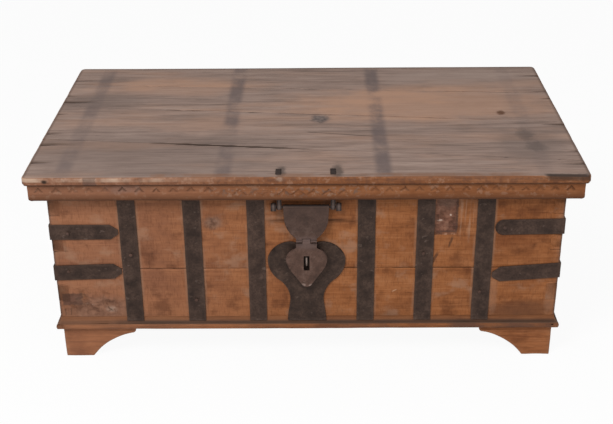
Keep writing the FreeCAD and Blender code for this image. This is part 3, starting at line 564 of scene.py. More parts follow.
WEATHER_DARK = (0.124, 0.085, 0.067)
WEATHER_MIDDLE = (0.273, 0.191, 0.157)
WEATHER_LIGHT = (0.375, 0.278, 0.232)
TANNED = (0.425, 0.245, 0.162)
SHADED = (0.130, 0.098, 0.086)
EDGE_DARK = (0.110, 0.035, 0.011)
EDGE_MIDDLE = (0.205, 0.073, 0.026)
EDGE_LIGHT = (0.285, 0.120, 0.052)
STAIN = (0.125, 0.094, 0.090)
LID_FLECKS = 8
STRAP_GHOSTS = ((-0.500, 1.0), (-0.170, 1.3), (0.160, 1.4), (0.491, 0.35))


def lid_wood(name, grain):
    paint = Paint(name, shine=WOOD_SHINE)
    colour, height = wood_figure(paint, grain, EDGE_DARK, EDGE_MIDDLE, EDGE_LIGHT)
    grey, grey_height = wood_figure(paint, grain, WEATHER_DARK, WEATHER_MIDDLE, WEATHER_LIGHT, LID_FLECKS)
    uneven = paint.noise((3, 13, 9), detail=5, rough=0.6)
    patchy = paint.noise((12, 10, 10), detail=5, rough=0.6, varied=False)
    on_top = paint.add("ShaderNodeAttribute", attribute_name="top").outputs["Fac"]
    weathered = top_marks(paint, grey, uneven, patchy)
    colour = edge_marks(paint, colour, patchy)
    colour = paint.blend(on_top, colour, weathered)
    colour = paint.over(colour, 0.9, paint.dirt, GRIME_AND_SHADE)
    rough = paint.scaled(uneven, 0.58, 0.78)
    return paint.finish(colour, rough, paint.math("ADD", height, grey_height), 0.0005)


def top_marks(paint, colour, uneven, patchy):
    """Warm streaks, a shaded corner, patchy bands where straps once crossed, knots, stains, a crack."""
    speckle = paint.noise((60, 60, 60), detail=4, rough=0.65)
    frayed = paint.math("MULTIPLY", paint.math("SUBTRACT", patchy, 0.5), 0.9)
    ragged = paint.math("MULTIPLY", paint.math("SUBTRACT", speckle, 0.5), 1.2)
    warm = paint.math("MULTIPLY", paint.step(uneven, 0.45, 0.70), 0.35)
    tanned = [paint.math("MULTIPLY", paint.spot((0.290, 0.080, LID_TOP), (0.40, 0.15, 0.2), frayed), 0.60),
              paint.math("MULTIPLY", paint.spot((-0.300, 0.190, LID_TOP), (0.26, 0.08, 0.2), frayed), 0.38)]
    warm = paint.math("ADD", warm, paint.largest(tanned), clamp=True)
    colour = paint.blend(warm, colour, TANNED)
    shaded = [paint.spot((-0.350, -0.230, LID_TOP), (0.42, 0.20, 0.2), frayed),
              paint.spot((0.480, -0.170, LID_TOP), (0.10, 0.13, 0.2), frayed),
              paint.spot((-0.490, 0.095, LID_TOP), (0.15, 0.075, 0.2), frayed)]
    colour = paint.over(colour, 0.40, paint.largest(shaded), SHADED)
    bleached = paint.spot((0.360, 0.250, LID_TOP), (0.26, 0.08, 0.2), frayed)
    colour = paint.over(colour, 0.35, bleached, (0.330, 0.250, 0.212))
    bands = [paint.math("MULTIPLY", paint.near(X, centre, 0.008, 0.016), strength)
             for centre, strength in STRAP_GHOSTS]
    band = paint.math("MULTIPLY", paint.largest(bands), paint.step(patchy, 0.28, 0.62))
    colour = paint.over(colour, 0.58, band, STAIN)
    knot = paint.spot((0.031, -0.018, LID_TOP), (0.028, 0.034, 0.05), paint.math("MULTIPLY", ragged, 0.45))
    shade = paint.ramp(speckle, (0.40, (0.050, 0.046, 0.050)), (0.60, (0.165, 0.130, 0.118)))
    colour = paint.over(colour, 0.85, knot, shade)
    small = paint.spot((0.447, 0.012, LID_TOP), (0.013, 0.018, 0.05), ragged)
    colour = paint.over(colour, 0.9, small, (0.110, 0.048, 0.024))
    smears = [paint.spot((-0.051, -0.312, LID_TOP), (0.014, 0.048, 0.05), ragged),
              paint.spot((0.064, -0.309, LID_TOP), (0.017, 0.052, 0.05), ragged)]
    colour = paint.over(colour, 0.7, paint.largest(smears), (0.060, 0.046, 0.040))
    crack = paint.scratch((X, Y), (0.000, -0.096), (0.150, -0.124), 0.0026, frayed)
    colour = paint.over(colour, 0.6, crack, GRIME_AND_SHADE)
    blots = [paint.spot((0.492, -0.186, LID_TOP), (0.030, 0.040, 0.05), ragged),
             paint.spot((0.480, -0.120, LID_TOP), (0.026, 0.050, 0.05), ragged)]
    colour = paint.over(colour, 0.45, paint.largest(blots), (0.070, 0.056, 0.052))
    return rim_marks(paint, colour, patchy, frayed)


def rim_marks(paint, colour, patchy, frayed):
    """The top's border: brown where hands have rubbed the front, dark at the ends and the back, a dark chip.
    """
    rubbed = paint.near(Y, LID_FRONT + 0.006, 0.006, 0.012)
    rubbed = paint.math("MULTIPLY", rubbed, paint.near(X, 0.060, 0.360, 0.080))
    rubbed = paint.math("MULTIPLY", rubbed, paint.step(patchy, 0.36, 0.58))
    colour = paint.over(colour, 0.7, rubbed, (0.215, 0.105, 0.060))
    borders = [paint.near(X, -LID_HIGH.x, 0.004, 0.007), paint.near(X, LID_HIGH.x, 0.004, 0.007),
               paint.near(Y, LID_BACK, 0.006, 0.009)]
    border = paint.math("MULTIPLY", paint.largest(borders), paint.scaled(patchy, 0.5, 1.1))
    colour = paint.over(colour, 0.65, border, (0.085, 0.052, 0.040))
    chip = paint.panel((X, Y), (0.532, LID_FRONT + 0.005), (0.046, 0.007), frayed)
    return paint.over(colour, 0.75, chip, (0.050, 0.038, 0.034))


def edge_marks(paint, colour, patchy):
    """Rubbed pale wood along the lid's front edge on the left, a hole, a strap's trace; painted shade
    darkening that edge and in the dark lines below, at the frieze's top and over its lower rounding.
    """
    at_front = paint.step(paint.math("MULTIPLY", paint.parts[Y], -1.0), 0.27, 0.30)
    leftwards = paint.step(paint.math("MULTIPLY", paint.parts[X], -1.0), -0.10, 0.45)
    colour = paint.over(colour, 0.45, leftwards, (0.240, 0.120, 0.080))
    rubbed = paint.near(Z, LID_TOP - 0.0055, 0.002, 0.004)
    rubbed = paint.math("MULTIPLY", rubbed, paint.step(patchy, 0.36, 0.56))
    far_left = paint.step(paint.math("MULTIPLY", paint.parts[X], -1.0), 0.15, 0.42)
    rubbed = paint.math("MULTIPLY", rubbed, paint.scaled(far_left, 0.06, 1.0))
    speckle = paint.noise((90, 90, 90), detail=3, rough=0.6)
    ragged = paint.math("MULTIPLY", paint.math("SUBTRACT", speckle, 0.5), 1.4)
    # Painted shade with scars: the lid planks' front edge, which faces the lamp, is painted darker all along
    # and darker still at scars.
    edge = paint.step(paint.parts[Z], FRIEZE_HIGH.z, FRIEZE_HIGH.z + 0.001)
    scarred_and_shaded = paint.math("ADD", paint.step(speckle, 0.50, 0.66), 0.25, clamp=True)
    colour = paint.over(colour, 0.55, paint.math("MULTIPLY", edge, scarred_and_shaded), (0.095, 0.040, 0.024))
    scraped = paint.math("SUBTRACT", 1.0, paint.step(speckle, 0.34, 0.44))
    colour = paint.over(colour, 0.40, scraped, (0.330, 0.190, 0.125))
    colour = paint.blend(rubbed, colour, (0.420, 0.285, 0.205))
    pale = paint.spot((-0.053, LID_FRONT, LID_TOP - 0.005), (0.013, 0.03, 0.008), ragged)
    colour = paint.over(colour, 0.5, pale, (0.330, 0.235, 0.180))
    trace = paint.panel((X, Z), (-0.440, LID_TOP - 0.009), (0.013, 0.012), ragged)
    colour = paint.over(colour, 0.6, paint.math("MULTIPLY", trace, at_front), (0.090, 0.056, 0.046))
    hole = paint.spot((-0.531, LID_FRONT, LID_TOP - 0.009), (0.008, 0.03, 0.006), ragged)
    colour = paint.blend(hole, colour, GRIME_AND_SHADE)
    colour = carving_marks(paint, colour, at_front, speckle, ragged)
    # Painted shade: a dark line where the lid's overhanging edge meets the frieze's top.
    under_lid_shade = paint.near(Z, FRIEZE_HIGH.z, 0.0012, 0.0025)
    colour = paint.over(colour, 0.7, under_lid_shade, (0.060, 0.026, 0.015))
    # Painted shade: the friezes darker over their lower rounding, which turns away from the light.
    low = paint.math("SUBTRACT", 1.0, paint.step(paint.parts[Z], FRIEZE_LOW.z + 0.004, FRIEZE_LOW.z + 0.024))
    return paint.over(colour, 0.85, low, (0.092, 0.034, 0.014))


def carving_marks(paint, colour, at_front, speckle, ragged):
    """The carved row: rubbed to pale and grey specks in the middle, greyed further left."""
    row = paint.near(Z, FRIEZE_HIGH.z - 0.019, 0.007, 0.005)
    row = paint.math("MULTIPLY", row, paint.near(X, -0.030, 0.130, 0.060))
    row = paint.math("MULTIPLY", row, at_front)
    colour = paint.over(colour, 0.48, paint.math("MULTIPLY", row, paint.step(speckle, 0.55, 0.66)),
                        (0.350, 0.235, 0.170))
    hollow = paint.math("SUBTRACT", 1.0, paint.step(speckle, 0.36, 0.47))
    colour = paint.over(colour, 0.6, paint.math("MULTIPLY", row, hollow), (0.110, 0.068, 0.052))
    greyed = paint.spot((-0.371, FRIEZE_LOW.y, FRIEZE_HIGH.z - 0.010), (0.060, 0.03, 0.014), ragged)
    return paint.over(colour, 0.35, greyed, (0.205, 0.130, 0.108))


# Iron

def iron(name, dark, middle, rust, marks=None):
    paint = Paint(name, metallic=0.25, shine=0.22)
    blotch = paint.noise((38, 38, 38), detail=5, rough=0.65)
    pits = paint.noise((210, 210, 210), detail=4, rough=0.7)
    colour = paint.ramp(blotch, (0.32, dark), (0.52, middle), (0.72, rust))
    colour = paint.over(colour, 0.55, paint.step(pits, 0.42, 0.66), dark)
    # Lighter along the rounded edges: rubbed iron and a painted highlight.
    colour = paint.over(colour, 0.4, paint.edge, rust)
    flecks = paint.step(paint.noise((75, 75, 110), detail=3, rough=0.6), 0.63, 0.72)
    colour = paint.over(colour, 0.35, flecks, (0.170, 0.120, 0.095))
    tint = paint.ramp(paint.chance, (0.0, (0.92, 0.92, 0.93)), (1.0, (1.08, 1.06, 1.08)))
    colour = paint.blend(1.0, colour, tint, "MULTIPLY")
    if marks:
        colour = marks(paint, colour)
    rough = paint.scaled(blotch, 0.52, 0.78)
    height = paint.math("ADD", blotch, paint.math("MULTIPLY", pits, 0.5))
    return paint.finish(colour, rough, height, 0.0008)


def hasp_marks(paint, colour):
    """Iron rubbed lighter at the hasp's neck and darker on the link; painted highlights at the heart's tip,
    painted shade along the link's top.
    """
    neck = paint.spot((0.0, HEART_TIP.y, NECK - 0.001), (0.045, 0.05, 0.022))
    colour = paint.over(colour, 0.45, neck, (0.150, 0.102, 0.092))
    # Painted highlights: two pale spots at the heart's blunt tip.
    tip_highlights = [paint.spot((-0.007, HEART_TIP.y, HEART_TIP.z + 0.005), (0.007, 0.01, 0.005)),
            paint.spot((0.009, HEART_TIP.y, HEART_TIP.z + 0.004), (0.006, 0.01, 0.005))]
    colour = paint.over(colour, 0.6, paint.largest(tip_highlights), (0.300, 0.215, 0.180))
    link = paint.step(paint.parts[Z], NECK + 0.004, NECK + 0.030)
    colour = paint.over(colour, 0.40, link, (0.040, 0.026, 0.022))
    # Painted shade: a dark line along the top of the link, under the pin.
    above = paint.step(paint.parts[Z], LINK_TOP - 0.004, LINK_TOP - 0.001)
    above = paint.math("MULTIPLY", above, paint.near(X, 0.0, 0.050, 0.002))
    return paint.over(colour, 0.85, above, (0.014, 0.009, 0.008))


def eye_marks(paint, colour):
    """Painted highlights: light bands down the middle of the dark eyes and pin heads."""
    highlight_strips = [paint.near(X, side * place, 0.001, 0.0022) for side in (-1, 1) for place in (0.056, 0.068)]
    below = paint.math("SUBTRACT", 1.0, paint.step(paint.parts[Z], 0.395, 0.400))
    highlight_strip = paint.math("MULTIPLY", paint.largest(highlight_strips), below)
    return paint.over(colour, 0.7, highlight_strip, (0.120, 0.086, 0.074))


FRONT_WOOD = case_wood("front_wood", X, front_marks)
WOOD_X = case_wood("case_wood_long", X)
WOOD_Y = case_wood("case_wood_cross", Y, finger_marks)
BASE_X = case_wood("base_wood_long", X, base_marks)
BASE_Y = case_wood("base_wood_cross", Y, base_marks)
LID_X = lid_wood("lid_wood_long", X)
LID_Y = lid_wood("lid_wood_cross", Y)
STRAP_IRON = iron("strap_iron", (0.025, 0.014, 0.010), (0.054, 0.032, 0.023), (0.095, 0.058, 0.042))
HASP_IRON = iron("hasp_iron", (0.050, 0.028, 0.020), (0.090, 0.050, 0.036), (0.136, 0.083, 0.063), hasp_marks)
EYE_IRON = iron("eye_iron", (0.014, 0.009, 0.008), (0.034, 0.022, 0.018), (0.070, 0.046, 0.038), eye_marks)
STAPLE_IRON = iron("staple_iron", (0.100, 0.070, 0.055), (0.200, 0.152, 0.126), (0.300, 0.240, 0.205))


# Wooden pieces

UP = Vector((0, 0, 1))
FORWARD = Vector((0, -1, 0))


def broken_corner(shape):
    """The knotty, broken lower corner at the front left."""
    low = Vector((-0.540, FRONT_FACE - 0.01, BASE_TOP + 0.002))
    high = Vector((-0.405, FRONT_FACE + 0.01, BASE_TOP + 0.072))
    rough_patch(shape, low, high, 0.0035, 0.0045, 34, 0.25, 5.0)


def let_in_patch(shape):
    """The chipped patch beside the fifth strap, and the crack behind the hasp."""
    low = Vector((0.274, FRONT_FACE - 0.01, 0.306))
    high = Vector((0.326, FRONT_FACE + 0.01, 0.398))
    rough_patch(shape, low, high, 0.003, 0.0035, 60, 0.3, 9.0)
    groove(shape, FORWARD, Z, 0.340, -0.087, 0.106, 0.0012, 0.003, in_middle)


def sunk_seam(across):
    """Sink the seam between the two planks of a wall on both of its faces, short of the corner joints."""
    along = Y if across == X else X
    reach = (CASE_END if along == X else -FRONT_FACE) - 0.03

    def change(shape):
        dirt_layer = shape.verts.layers.float["dirt"]
        for shift in (-0.0015, 0.0015):
            cut_across(shape, shape.faces[:], Z, SEAM + shift)
        for vert in shape.verts:
            at_seam = abs(vert.co.z - SEAM) < 0.0005 and abs(vert.co[along]) < reach
            if at_seam and abs(vert.normal[across]) > 0.3:
                open_share = max(0.0, 0.72 + 0.9 * noise.noise(vert.co * 7))
                vert.co[across] -= math.copysign(0.0008 * open_share, vert.normal[across])
                vert[dirt_layer] = min(1.0, 0.4 * open_share)
    return change


def plank_joint(place):
    """True on a plank's joints with its neighbours, false on the case's corners and its rim."""
    at_corner = abs(place.x) > CASE_END - 0.001 and abs(place.y) > -FRONT_FACE - 0.001
    return not (at_corner or place.z > RIM - 0.001)


def rail_joint(place):
    """True where a base rail meets the planks above it."""
    return place.z > BASE_TOP - 0.0005


def case_planks():
    seed = 1
    changes = {"front_upper_plank": [let_in_patch], "front_lower_plank": [broken_corner]}
    for face, along in (("front", X), ("back", X), ("left", Y), ("right", Y)):
        across = Y if along == X else X
        for tier in ("upper", "lower"):
            node = f"{face}_{tier}_plank"
            paint = FRONT_WOOD if face == "front" else WOOD_X if along == X else WOOD_Y
            steps = [0.0, 0.0, 0.007]
            steps[along] = 0.012 if face == "front" else 0.03
            worn_piece(node, steps, 0.0004, along, seed, paint, 0.0006, 0.0008, 0.002,
                       butted=plank_joint, extra=[sunk_seam(across), *changes.get(node, ())])
            seed += 5


def base_and_feet():
    seed = 100
    for face, along in (("front", X), ("back", X), ("left", Y), ("right", Y)):
        steps = [0.0, 0.0, 0.004]
        steps[along] = 0.012
        paint = BASE_X if along == X else BASE_Y
        worn_piece(f"base_rail_{face}", steps, 0.0004, along, seed, paint, 0.0004, 0.0006, 0.002,
                   butted=rail_joint)
        seed += 5
        for foot in [node for node in nodes if node.startswith(f"foot_{face}_")]:
            steps = [0.0, 0.0, 0.006]
            steps[along] = 0.01
            worn_piece(foot, steps, 0.0016, along, seed, paint, 0.0005, 0.0006, 0.002)
            seed += 5


# Lid: rounded outline, open seam, end checks and a chipped edge

CORNER_ROUND = 0.012
UNDER_ROUND = 0.006
OUTLINE = Vector((LID_HIGH.x, LID_BACK, 0.0))


def round_off(place, first_start, second_start):
    """Draw a place in where it lies past two starts, each given as an axis, a direction and a level."""
    first, first_way, first_level = first_start
    second, second_way, second_level = second_start
    past = first_way * (place[first] - first_level)
    beyond = second_way * (place[second] - second_level)
    if past > 0 and beyond > 0:
        share = max(past, beyond) / math.hypot(past, beyond)
        place[first] = first_level + first_way * past * share
        place[second] = second_level + second_way * beyond * share


def soften_outline(shape):
    """Round the lid's corners in plan and its lower outer edge, as long use leaves them."""
    for inset in (0.002, 0.004, 0.008, CORNER_ROUND):
        for side in (-1, 1):
            cut_across(shape, shape.faces[:], X, side * (OUTLINE.x - inset))
            cut_across(shape, shape.faces[:], Y, side * (OUTLINE.y - inset))
    for rise in (0.0015, 0.003, UNDER_ROUND):
        cut_across(shape, shape.faces[:], Z, LID_LOW.z + rise)
    for vert in shape.verts:
        corner = []
        under = []
        for axis in (X, Y):
            way = math.copysign(1, vert.co[axis])
            corner.append((axis, way, way * (OUTLINE[axis] - CORNER_ROUND)))
            under.append((axis, way, way * (OUTLINE[axis] - UNDER_ROUND)))
        round_off(vert.co, *corner)
        for start in under:
            round_off(vert.co, start, (Z, -1, LID_LOW.z + UNDER_ROUND))
    shape.normal_update()


def seam_joint(place):
    """True where the planks of the lid meet below its top."""
    return place.z < LID_TOP - 0.006 and abs(place.y) < OUTLINE.y - 0.002


OPEN_SEAM = (-0.343, 0.010)
SEAM_LEFT = LID_HIGH.y
SEAM_RIGHT = LID_FRONT + 0.078
END_CHECKS = {
    1: [(-1, -0.254, 0.052), (-1, -0.159, 0.085), (1, -0.273, 0.050)],
    2: [(-1, -0.097, 0.046), (-1, 0.020, 0.030), (1, -0.059, 0.055), (1, -0.210, 0.028), (1, 0.002, 0.020)],
    3: [(-1, 0.098, 0.090), (-1, 0.140, 0.036), (1, 0.105, 0.030)],
    4: [(1, 0.267, 0.060), (1, 0.152, 0.048), (-1, 0.245, 0.064)],
}
CHIP = (0.486, 0.576)


def end_checks(number):
    def change(shape):
        for side, level, length in END_CHECKS[number]:
            start, stop = sorted((side * LID_HIGH.x, side * (LID_HIGH.x - length)))
            half_width = 0.0016 + 0.028 * length
            swell = from_left if side < 0 else from_right
            groove(shape, UP, Y, level, start, stop, half_width, 0.005, swell)
    return change


def mark_top(shape):
    """Note which points lie on the weathered top; the outer edges are browner, the seams dirty."""
    top_layer = shape.verts.layers.float.new("top")
    dirt_layer = shape.verts.layers.float["dirt"]
    for vert in shape.verts:
        inset = min(vert.co.y - LID_FRONT, LID_BACK - vert.co.y, LID_HIGH.x - abs(vert.co.x))
        facing = min(1.0, max(0.0, (vert.normal.z - 0.80) / 0.15))
        within = inset > 0.006 and vert.normal.z > -0.5
        vert[top_layer] = 1.0 if within else facing
        if within and abs(vert.normal.y) > 0.25:
            vert[dirt_layer] = 0.6


def open_seam(side):
    """Draw a plank back from the first seam where the wood has shrunk."""
    def change(shape):
        dirt_layer = shape.verts.layers.float["dirt"]
        for vert in shape.verts:
            share = (vert.co.x + LID_HIGH.x) / (2 * LID_HIGH.x)
            seam = SEAM_LEFT + (SEAM_RIGHT - SEAM_LEFT) * share
            if abs(vert.co.y - seam) < 0.0025 and vert.co.z > LID_LOW.z + UNDER_ROUND - 0.0005:
                along = (vert.co.x - OPEN_SEAM[0]) / (OPEN_SEAM[1] - OPEN_SEAM[0])
                gape = max(0.0, math.sin(math.pi * min(1.0, max(0.0, along)))) ** 0.5
                vert.co.y += side * 0.0014 * gape
                vert[dirt_layer] = 0.15 + 0.85 * gape
    return change


def chipped_edge(shape):
    """A long splinter gone from the lid's front edge at the right."""
    dirt_layer = shape.verts.layers.float["dirt"]
    for vert in shape.verts:
        share = (vert.co.x - CHIP[0]) / (CHIP[1] - CHIP[0])
        if 0.0 < share < 1.0 and vert.co.y < LID_FRONT + 0.008 and vert.co.z > LID_TOP - 0.008:
            vert.co.z -= 0.0035 * (0.4 + 0.6 * share)
            vert[dirt_layer] = 0.8


def lid_planks():
    seed = 200
    changes = {1: [open_seam(-1), chipped_edge], 2: [open_seam(1)], 3: [], 4: []}
    for number in range(1, 5):
        extra = [soften_outline, mark_top, end_checks(number), *changes[number]]
        worn_piece(f"lid_plank_{number}", (0.014, 0.006, 0.0), 0.0009, X, seed, LID_X,
                   0.0006, 0.0010, 0.003, proud=0.5, butted=seam_joint, extra=extra)
        seed += 5


# Frieze with a row of chip-carved notches along the front

FRIEZE_ROUND = 0.009
FRIEZE_STATION = 0.0016
NOTCH_DEPTH = 0.0034


def frieze_section():
    """The frieze's outline from the inner top corner over the front to the inner bottom, as (y, z)."""
    outline = [(FRIEZE_HIGH.y, FRIEZE_HIGH.z)]
    flat = FRIEZE_HIGH.z - FRIEZE_LOW.z - FRIEZE_ROUND
    rows = 18
    for row in range(rows):
        outline.append((FRIEZE_LOW.y, FRIEZE_HIGH.z - flat * row / (rows - 1)))
    turns = 5
    for turn in range(1, turns + 1):
        angle = math.pi / 2 * turn / turns
        outline.append((FRIEZE_LOW.y + FRIEZE_ROUND * (1 - math.cos(angle)),
                        FRIEZE_LOW.z + FRIEZE_ROUND * (1 - math.sin(angle))))
    outline.append((FRIEZE_HIGH.y, FRIEZE_LOW.z))
    return outline


def worn_middle(x):
    return -0.18 < x < 0.12


def notches():
    """Places and sizes of the notches: even at the ends, larger and closer in the middle."""
    chance = random.Random(11)
    found = []
    x = -0.5486
    while x < 0.55:
        middle = worn_middle(x)
        half = 0.0145 if middle else 0.0100
        foot = FRIEZE_HIGH.z - (0.0248 if middle else 0.0170)
        rise = 0.0125 if middle else 0.0110
        strength = chance.uniform(0.25, 0.70) if middle else chance.uniform(0.45, 0.85)
        found.append((x, half, foot + chance.uniform(-0.001, 0.001), rise, strength))
        x += chance.gauss(0.035 if x < -0.18 else 0.0305, 0.0012)
    return found


def notch_depth(x, z, carved):
    """Depth of the chip carving: nothing at a notch's foot, most along its two upper sides."""
    for centre, half, foot, rise, strength in carved:
        aside = abs(x - centre) / half
        up = (z - foot) / rise
        if aside < 1.0 and 0.0 < up and aside + up < 1.0:
            deep = min(1.0, max(0.0, (aside + up - 0.32) / 0.25))
            return NOTCH_DEPTH * strength * deep
    return 0.0


def carved_frieze():
    shape = bmesh.new()
    dirt_layer = shape.verts.layers.float.new("dirt")
    shape.verts.layers.float.new("edge")
    section = frieze_section()
    carved = notches()
    stations = round((FRIEZE_HIGH.x - FRIEZE_LOW.x) / FRIEZE_STATION)
    rings = []
    for station in range(stations + 1):
        ring = []
        for y, z in section:
            reach = FRIEZE_HIGH.x - (y - FRIEZE_LOW.y)
            x = reach * (2 * station / stations - 1)
            depth = notch_depth(x, z, carved) if y == FRIEZE_LOW.y else 0.0
            vert = shape.verts.new((x, y + depth, z))
            vert[dirt_layer] = (0.22 if worn_middle(x) else 0.55) * depth / NOTCH_DEPTH
            ring.append(vert)
        rings.append(ring)
    for first, second in zip(rings, rings[1:]):
        for index in range(len(section)):
            following = (index + 1) % len(section)
            shape.faces.new((first[index], first[following], second[following], second[index]))
    shape.faces.new(rings[0][::-1])
    shape.faces.new(rings[-1])
    bmesh.ops.recalc_face_normals(shape, faces=shape.faces)
    shape.normal_update()
    wear(shape, X, 77, 0.0006, 0.0010, 0.002, proud=0.5)
    piece(shape, "carved_frieze_front", "lid", LID_X, ["lid_frieze_front"])


def plain_friezes():
    for face, along, paint in (("back", X, LID_X), ("left", Y, LID_Y), ("right", Y, LID_Y)):
        steps = [0.0, 0.0, 0.006]
        steps[along] = 0.014
        worn_piece(f"lid_frieze_{face}", steps, 0.001, along, 300, paint, 0.0004, 0.0006, 0.002)


# Iron pieces

def neck_joint(place):
    """True at the knuckles where the two links of the hasp meet."""
    return abs(place.z - NECK) < 0.010 and abs(place.x) < 0.023


def iron_pieces():
    seed = 400
    for number in range(1, 7):
        worn_piece(f"front_strap_{number}", (0.0065, 0.0, 0.009), 0.0008, Z, seed, STRAP_IRON,
                   0.0003, 0.0005, 0.0010)
        seed += 5
    for side in ("left", "right"):
        for tier in ("upper", "lower"):
            worn_piece(f"corner_strap_{side}_{tier}", (0.009, 0.009, 0.0065), 0.0008, X, seed, STRAP_IRON,
                       0.0003, 0.0005, 0.0010)
            seed += 5
    for node, paint in (("corner_straps_back", STRAP_IRON), ("lock_plate", STRAP_IRON),
                        ("hasp_link", HASP_IRON), ("hasp_heart", HASP_IRON)):
        worn_piece(node, (0.006, 0.0, 0.006), 0.0004, X, seed, paint, 0.0002, 0.0004, 0.0005,
                   butted=neck_joint)
        seed += 5
    for node, paint in (("hasp_eyes", EYE_IRON), ("hasp_pin", EYE_IRON), ("lock_staple", STAPLE_IRON)):
        worn_piece(node, (0.003, 0.0, 0.003), 0.0012, Z, seed, paint, 0.0004, 0.0004, 0.0008)
        seed += 5


def paint_the_rest():
    """Give every solid that still shows its finish."""
    finishes = {"strap_iron": STRAP_IRON, "hasp_iron": HASP_IRON, "lid_wood": LID_X}
    for name, node in nodes.items():
        paint = finishes.get(slot_of_node[name], WOOD_X)
        if name.startswith("lid_batten"):
            paint = LID_Y
        node.data.materials.clear()
        node.data.materials.append(paint)


# Nails: low hammered heads

STRAP_FACE = STRAPS[0][0].y
FRONT_NAILS = [
    (-0.505, 0.313), (-0.512, 0.221), (-0.375, 0.261), (-0.240, 0.149), (0.418, 0.323), (0.249, 0.262),
    (0.374, 0.167),
]
NAIL_RINGS = ((0.0040, -0.0006), (0.0038, 0.0004), (0.0028, 0.0010), (0.0012, 0.0013))
NAIL_SIDES = 10


def case_nails():
    """The nails that show on the front, and those of the corner straps and hinges round the other sides."""
    places = [(Vector((x, STRAP_FACE, z)), FORWARD) for x, z in FRONT_NAILS]
    group_low, group_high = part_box("corner_straps_back")
    back_levels = (group_low.z + 0.019, group_high.z - 0.019)
    for side, name in ((-1, "left"), (1, "right")):
        out = Vector((side, 0, 0))
        face = side * group_high.x
        for tier in ("upper", "lower"):
            low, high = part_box(f"corner_strap_{name}_{tier}")
            level = (low.z + high.z) / 2
            places += [(Vector((face, y, level)), out) for y in (high.y - 0.025, low.y + 0.045)]
        for level in back_levels:
            places += [(Vector((face, y, level)), out) for y in (group_low.y + 0.025, group_high.y - 0.045)]
            places += [(Vector((side * x, group_high.y, level)), -FORWARD) for x in (0.505, 0.430)]
        low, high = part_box(f"hinge_case_leaf_{name}")
        leaf_face = low.y + 0.003
        centre = (low.x + high.x) / 2
        for shift, level in ((-0.017, high.z - 0.030), (0.017, high.z - 0.030), (0.0, low.z + 0.030)):
            places.append((Vector((centre + shift, leaf_face, level)), -FORWARD))
    return places


def lid_nails():
    """The nails of the hinges' upper leaves, on the frieze at the back."""
    places = []
    for name in ("left", "right"):
        low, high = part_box(f"hinge_lid_leaf_{name}")
        centre = (low.x + high.x) / 2
        places += [(Vector((centre + shift, high.y, high.z - 0.014)), -FORWARD) for shift in (-0.017, 0.017)]
    return places


def nail_head(shape, place, out, chance):
    """One low head on a face that looks outwards."""
    aside = UP.cross(out)
    rings = []
    for radius, lift in NAIL_RINGS:
        ring = []
        for side in range(NAIL_SIDES):
            angle = 2 * math.pi * side / NAIL_SIDES
            reach = radius * chance.uniform(0.88, 1.06)
            spread = aside * math.cos(angle) + UP * math.sin(angle)
            ring.append(shape.verts.new(place + spread * reach + out * lift))
        rings.append(ring)
    for first, second in zip(rings, rings[1:]):
        for side in range(NAIL_SIDES):
            following = (side + 1) % NAIL_SIDES
            shape.faces.new((first[side], first[following], second[following], second[side]))
    shape.faces.new(rings[0][::-1])
    shape.faces.new(rings[-1])


def nail_heads(name, body, places):
    chance = random.Random(5)
    shape = bmesh.new()
    shape.verts.layers.float.new("edge")
    shape.verts.layers.float.new("dirt")
    for place, out in places:
        nail_head(shape, place, out, chance)
    bmesh.ops.recalc_face_normals(shape, faces=shape.faces)
    piece(shape, name, body, HASP_IRON)


case_planks()
base_and_feet()
lid_planks()
carved_frieze()
plain_friezes()
iron_pieces()
nail_heads("nail_heads_case", "case", case_nails())
nail_heads("nail_heads_lid", "lid", lid_nails())
paint_the_rest()


# Floor, light and camera

FLOOR_HALF = 60.0
FLOOR_COLOUR = (0.80, 0.80, 0.80)
FLOOR_GLOW = 0.94


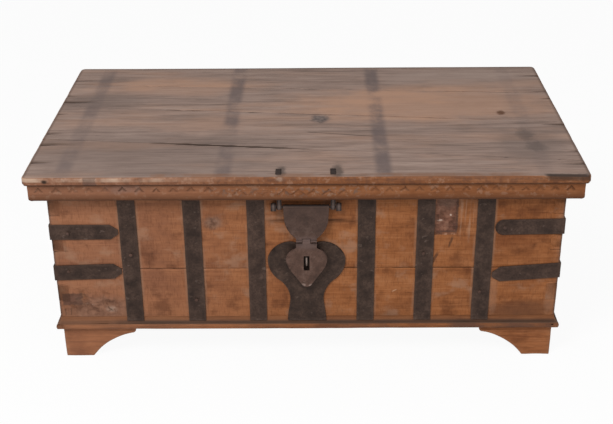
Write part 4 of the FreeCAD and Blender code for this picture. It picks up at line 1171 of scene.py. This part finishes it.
def floor():
    """A pale floor that the camera and shiny surfaces see as white paper with a soft shadow."""
    shape = bmesh.new()
    bmesh.ops.create_grid(shape, x_segments=1, y_segments=1, size=FLOOR_HALF)
    mesh = bpy.data.meshes.new("floor")
    shape.to_mesh(mesh)
    shape.free()
    made = bpy.data.objects.new("floor", mesh)
    bpy.context.scene.collection.objects.link(made)
    material = bpy.data.materials.new("floor")
    material.use_nodes = True
    tree = material.node_tree
    shader = tree.nodes["Principled BSDF"]
    shader.inputs["Base Color"].default_value = (*FLOOR_COLOUR, 1.0)
    shader.inputs["Roughness"].default_value = 1.0
    glow = tree.nodes.new("ShaderNodeEmission")
    glow.inputs["Strength"].default_value = 1.0
    path = tree.nodes.new("ShaderNodeLightPath")
    seen = path.outputs["Is Camera Ray"]
    for ray in ("Is Glossy Ray", "Is Transmission Ray"):
        either = tree.nodes.new("ShaderNodeMath")
        either.operation = "MAXIMUM"
        tree.links.new(seen, either.inputs[0])
        tree.links.new(path.outputs[ray], either.inputs[1])
        seen = either.outputs[0]
    share = tree.nodes.new("ShaderNodeMath")
    share.operation = "MULTIPLY"
    share.inputs[1].default_value = FLOOR_GLOW
    mix = tree.nodes.new("ShaderNodeMixShader")
    tree.links.new(seen, share.inputs[0])
    tree.links.new(share.outputs[0], mix.inputs["Fac"])
    tree.links.new(shader.outputs["BSDF"], mix.inputs[1])
    tree.links.new(glow.outputs["Emission"], mix.inputs[2])
    tree.links.new(mix.outputs["Shader"], tree.nodes["Material Output"].inputs["Surface"])
    mesh.materials.append(material)


def world():
    made = bpy.data.worlds.new("studio")
    made.use_nodes = True
    made.node_tree.nodes["Background"].inputs["Color"].default_value = (1.0, 1.0, 1.0, 1.0)
    made.node_tree.nodes["Background"].inputs["Strength"].default_value = 0.42
    bpy.context.scene.world = made


def lamp(name, place, target, size, power):
    light = bpy.data.lights.new(name, "AREA")
    light.shape = "DISK"
    light.size = size
    light.energy = power
    made = bpy.data.objects.new(name, light)
    made.location = place
    made.rotation_euler = (Vector(target) - Vector(place)).to_track_quat("-Z", "Y").to_euler()
    bpy.context.scene.collection.objects.link(made)


CAMERA_PLACE = (0.01965, -2.37635, 1.40057)
CAMERA_PITCH = math.radians(26.588)
CAMERA_YAW = math.radians(-0.525)
CAMERA_ROLL = math.radians(-0.494)
CAMERA_LENS = 65.21


def camera():
    level_ahead = Vector((math.sin(CAMERA_YAW), math.cos(CAMERA_YAW), 0.0))
    ahead = math.cos(CAMERA_PITCH) * level_ahead - math.sin(CAMERA_PITCH) * UP
    level = Vector((math.cos(CAMERA_YAW), -math.sin(CAMERA_YAW), 0.0))
    above = level.cross(ahead)
    right = math.cos(CAMERA_ROLL) * level + math.sin(CAMERA_ROLL) * above
    up = math.cos(CAMERA_ROLL) * above - math.sin(CAMERA_ROLL) * level
    turned = Matrix((right, up, -ahead)).transposed().to_4x4()
    lens = bpy.data.cameras.new("camera")
    lens.lens = CAMERA_LENS
    lens.sensor_width = 36.0
    made = bpy.data.objects.new("camera", lens)
    made.matrix_world = Matrix.Translation(CAMERA_PLACE) @ turned
    bpy.context.scene.collection.objects.link(made)
    bpy.context.scene.camera = made


floor()
world()
lamp("key", (-1.3, -2.3, 3.0), (0.0, -0.2, 0.3), 1.5, 95)
lamp("fill", (1.9, -2.6, 2.0), (0.0, -0.2, 0.3), 1.8, 18)
camera()
bpy.context.scene.view_settings.view_transform = "Standard"
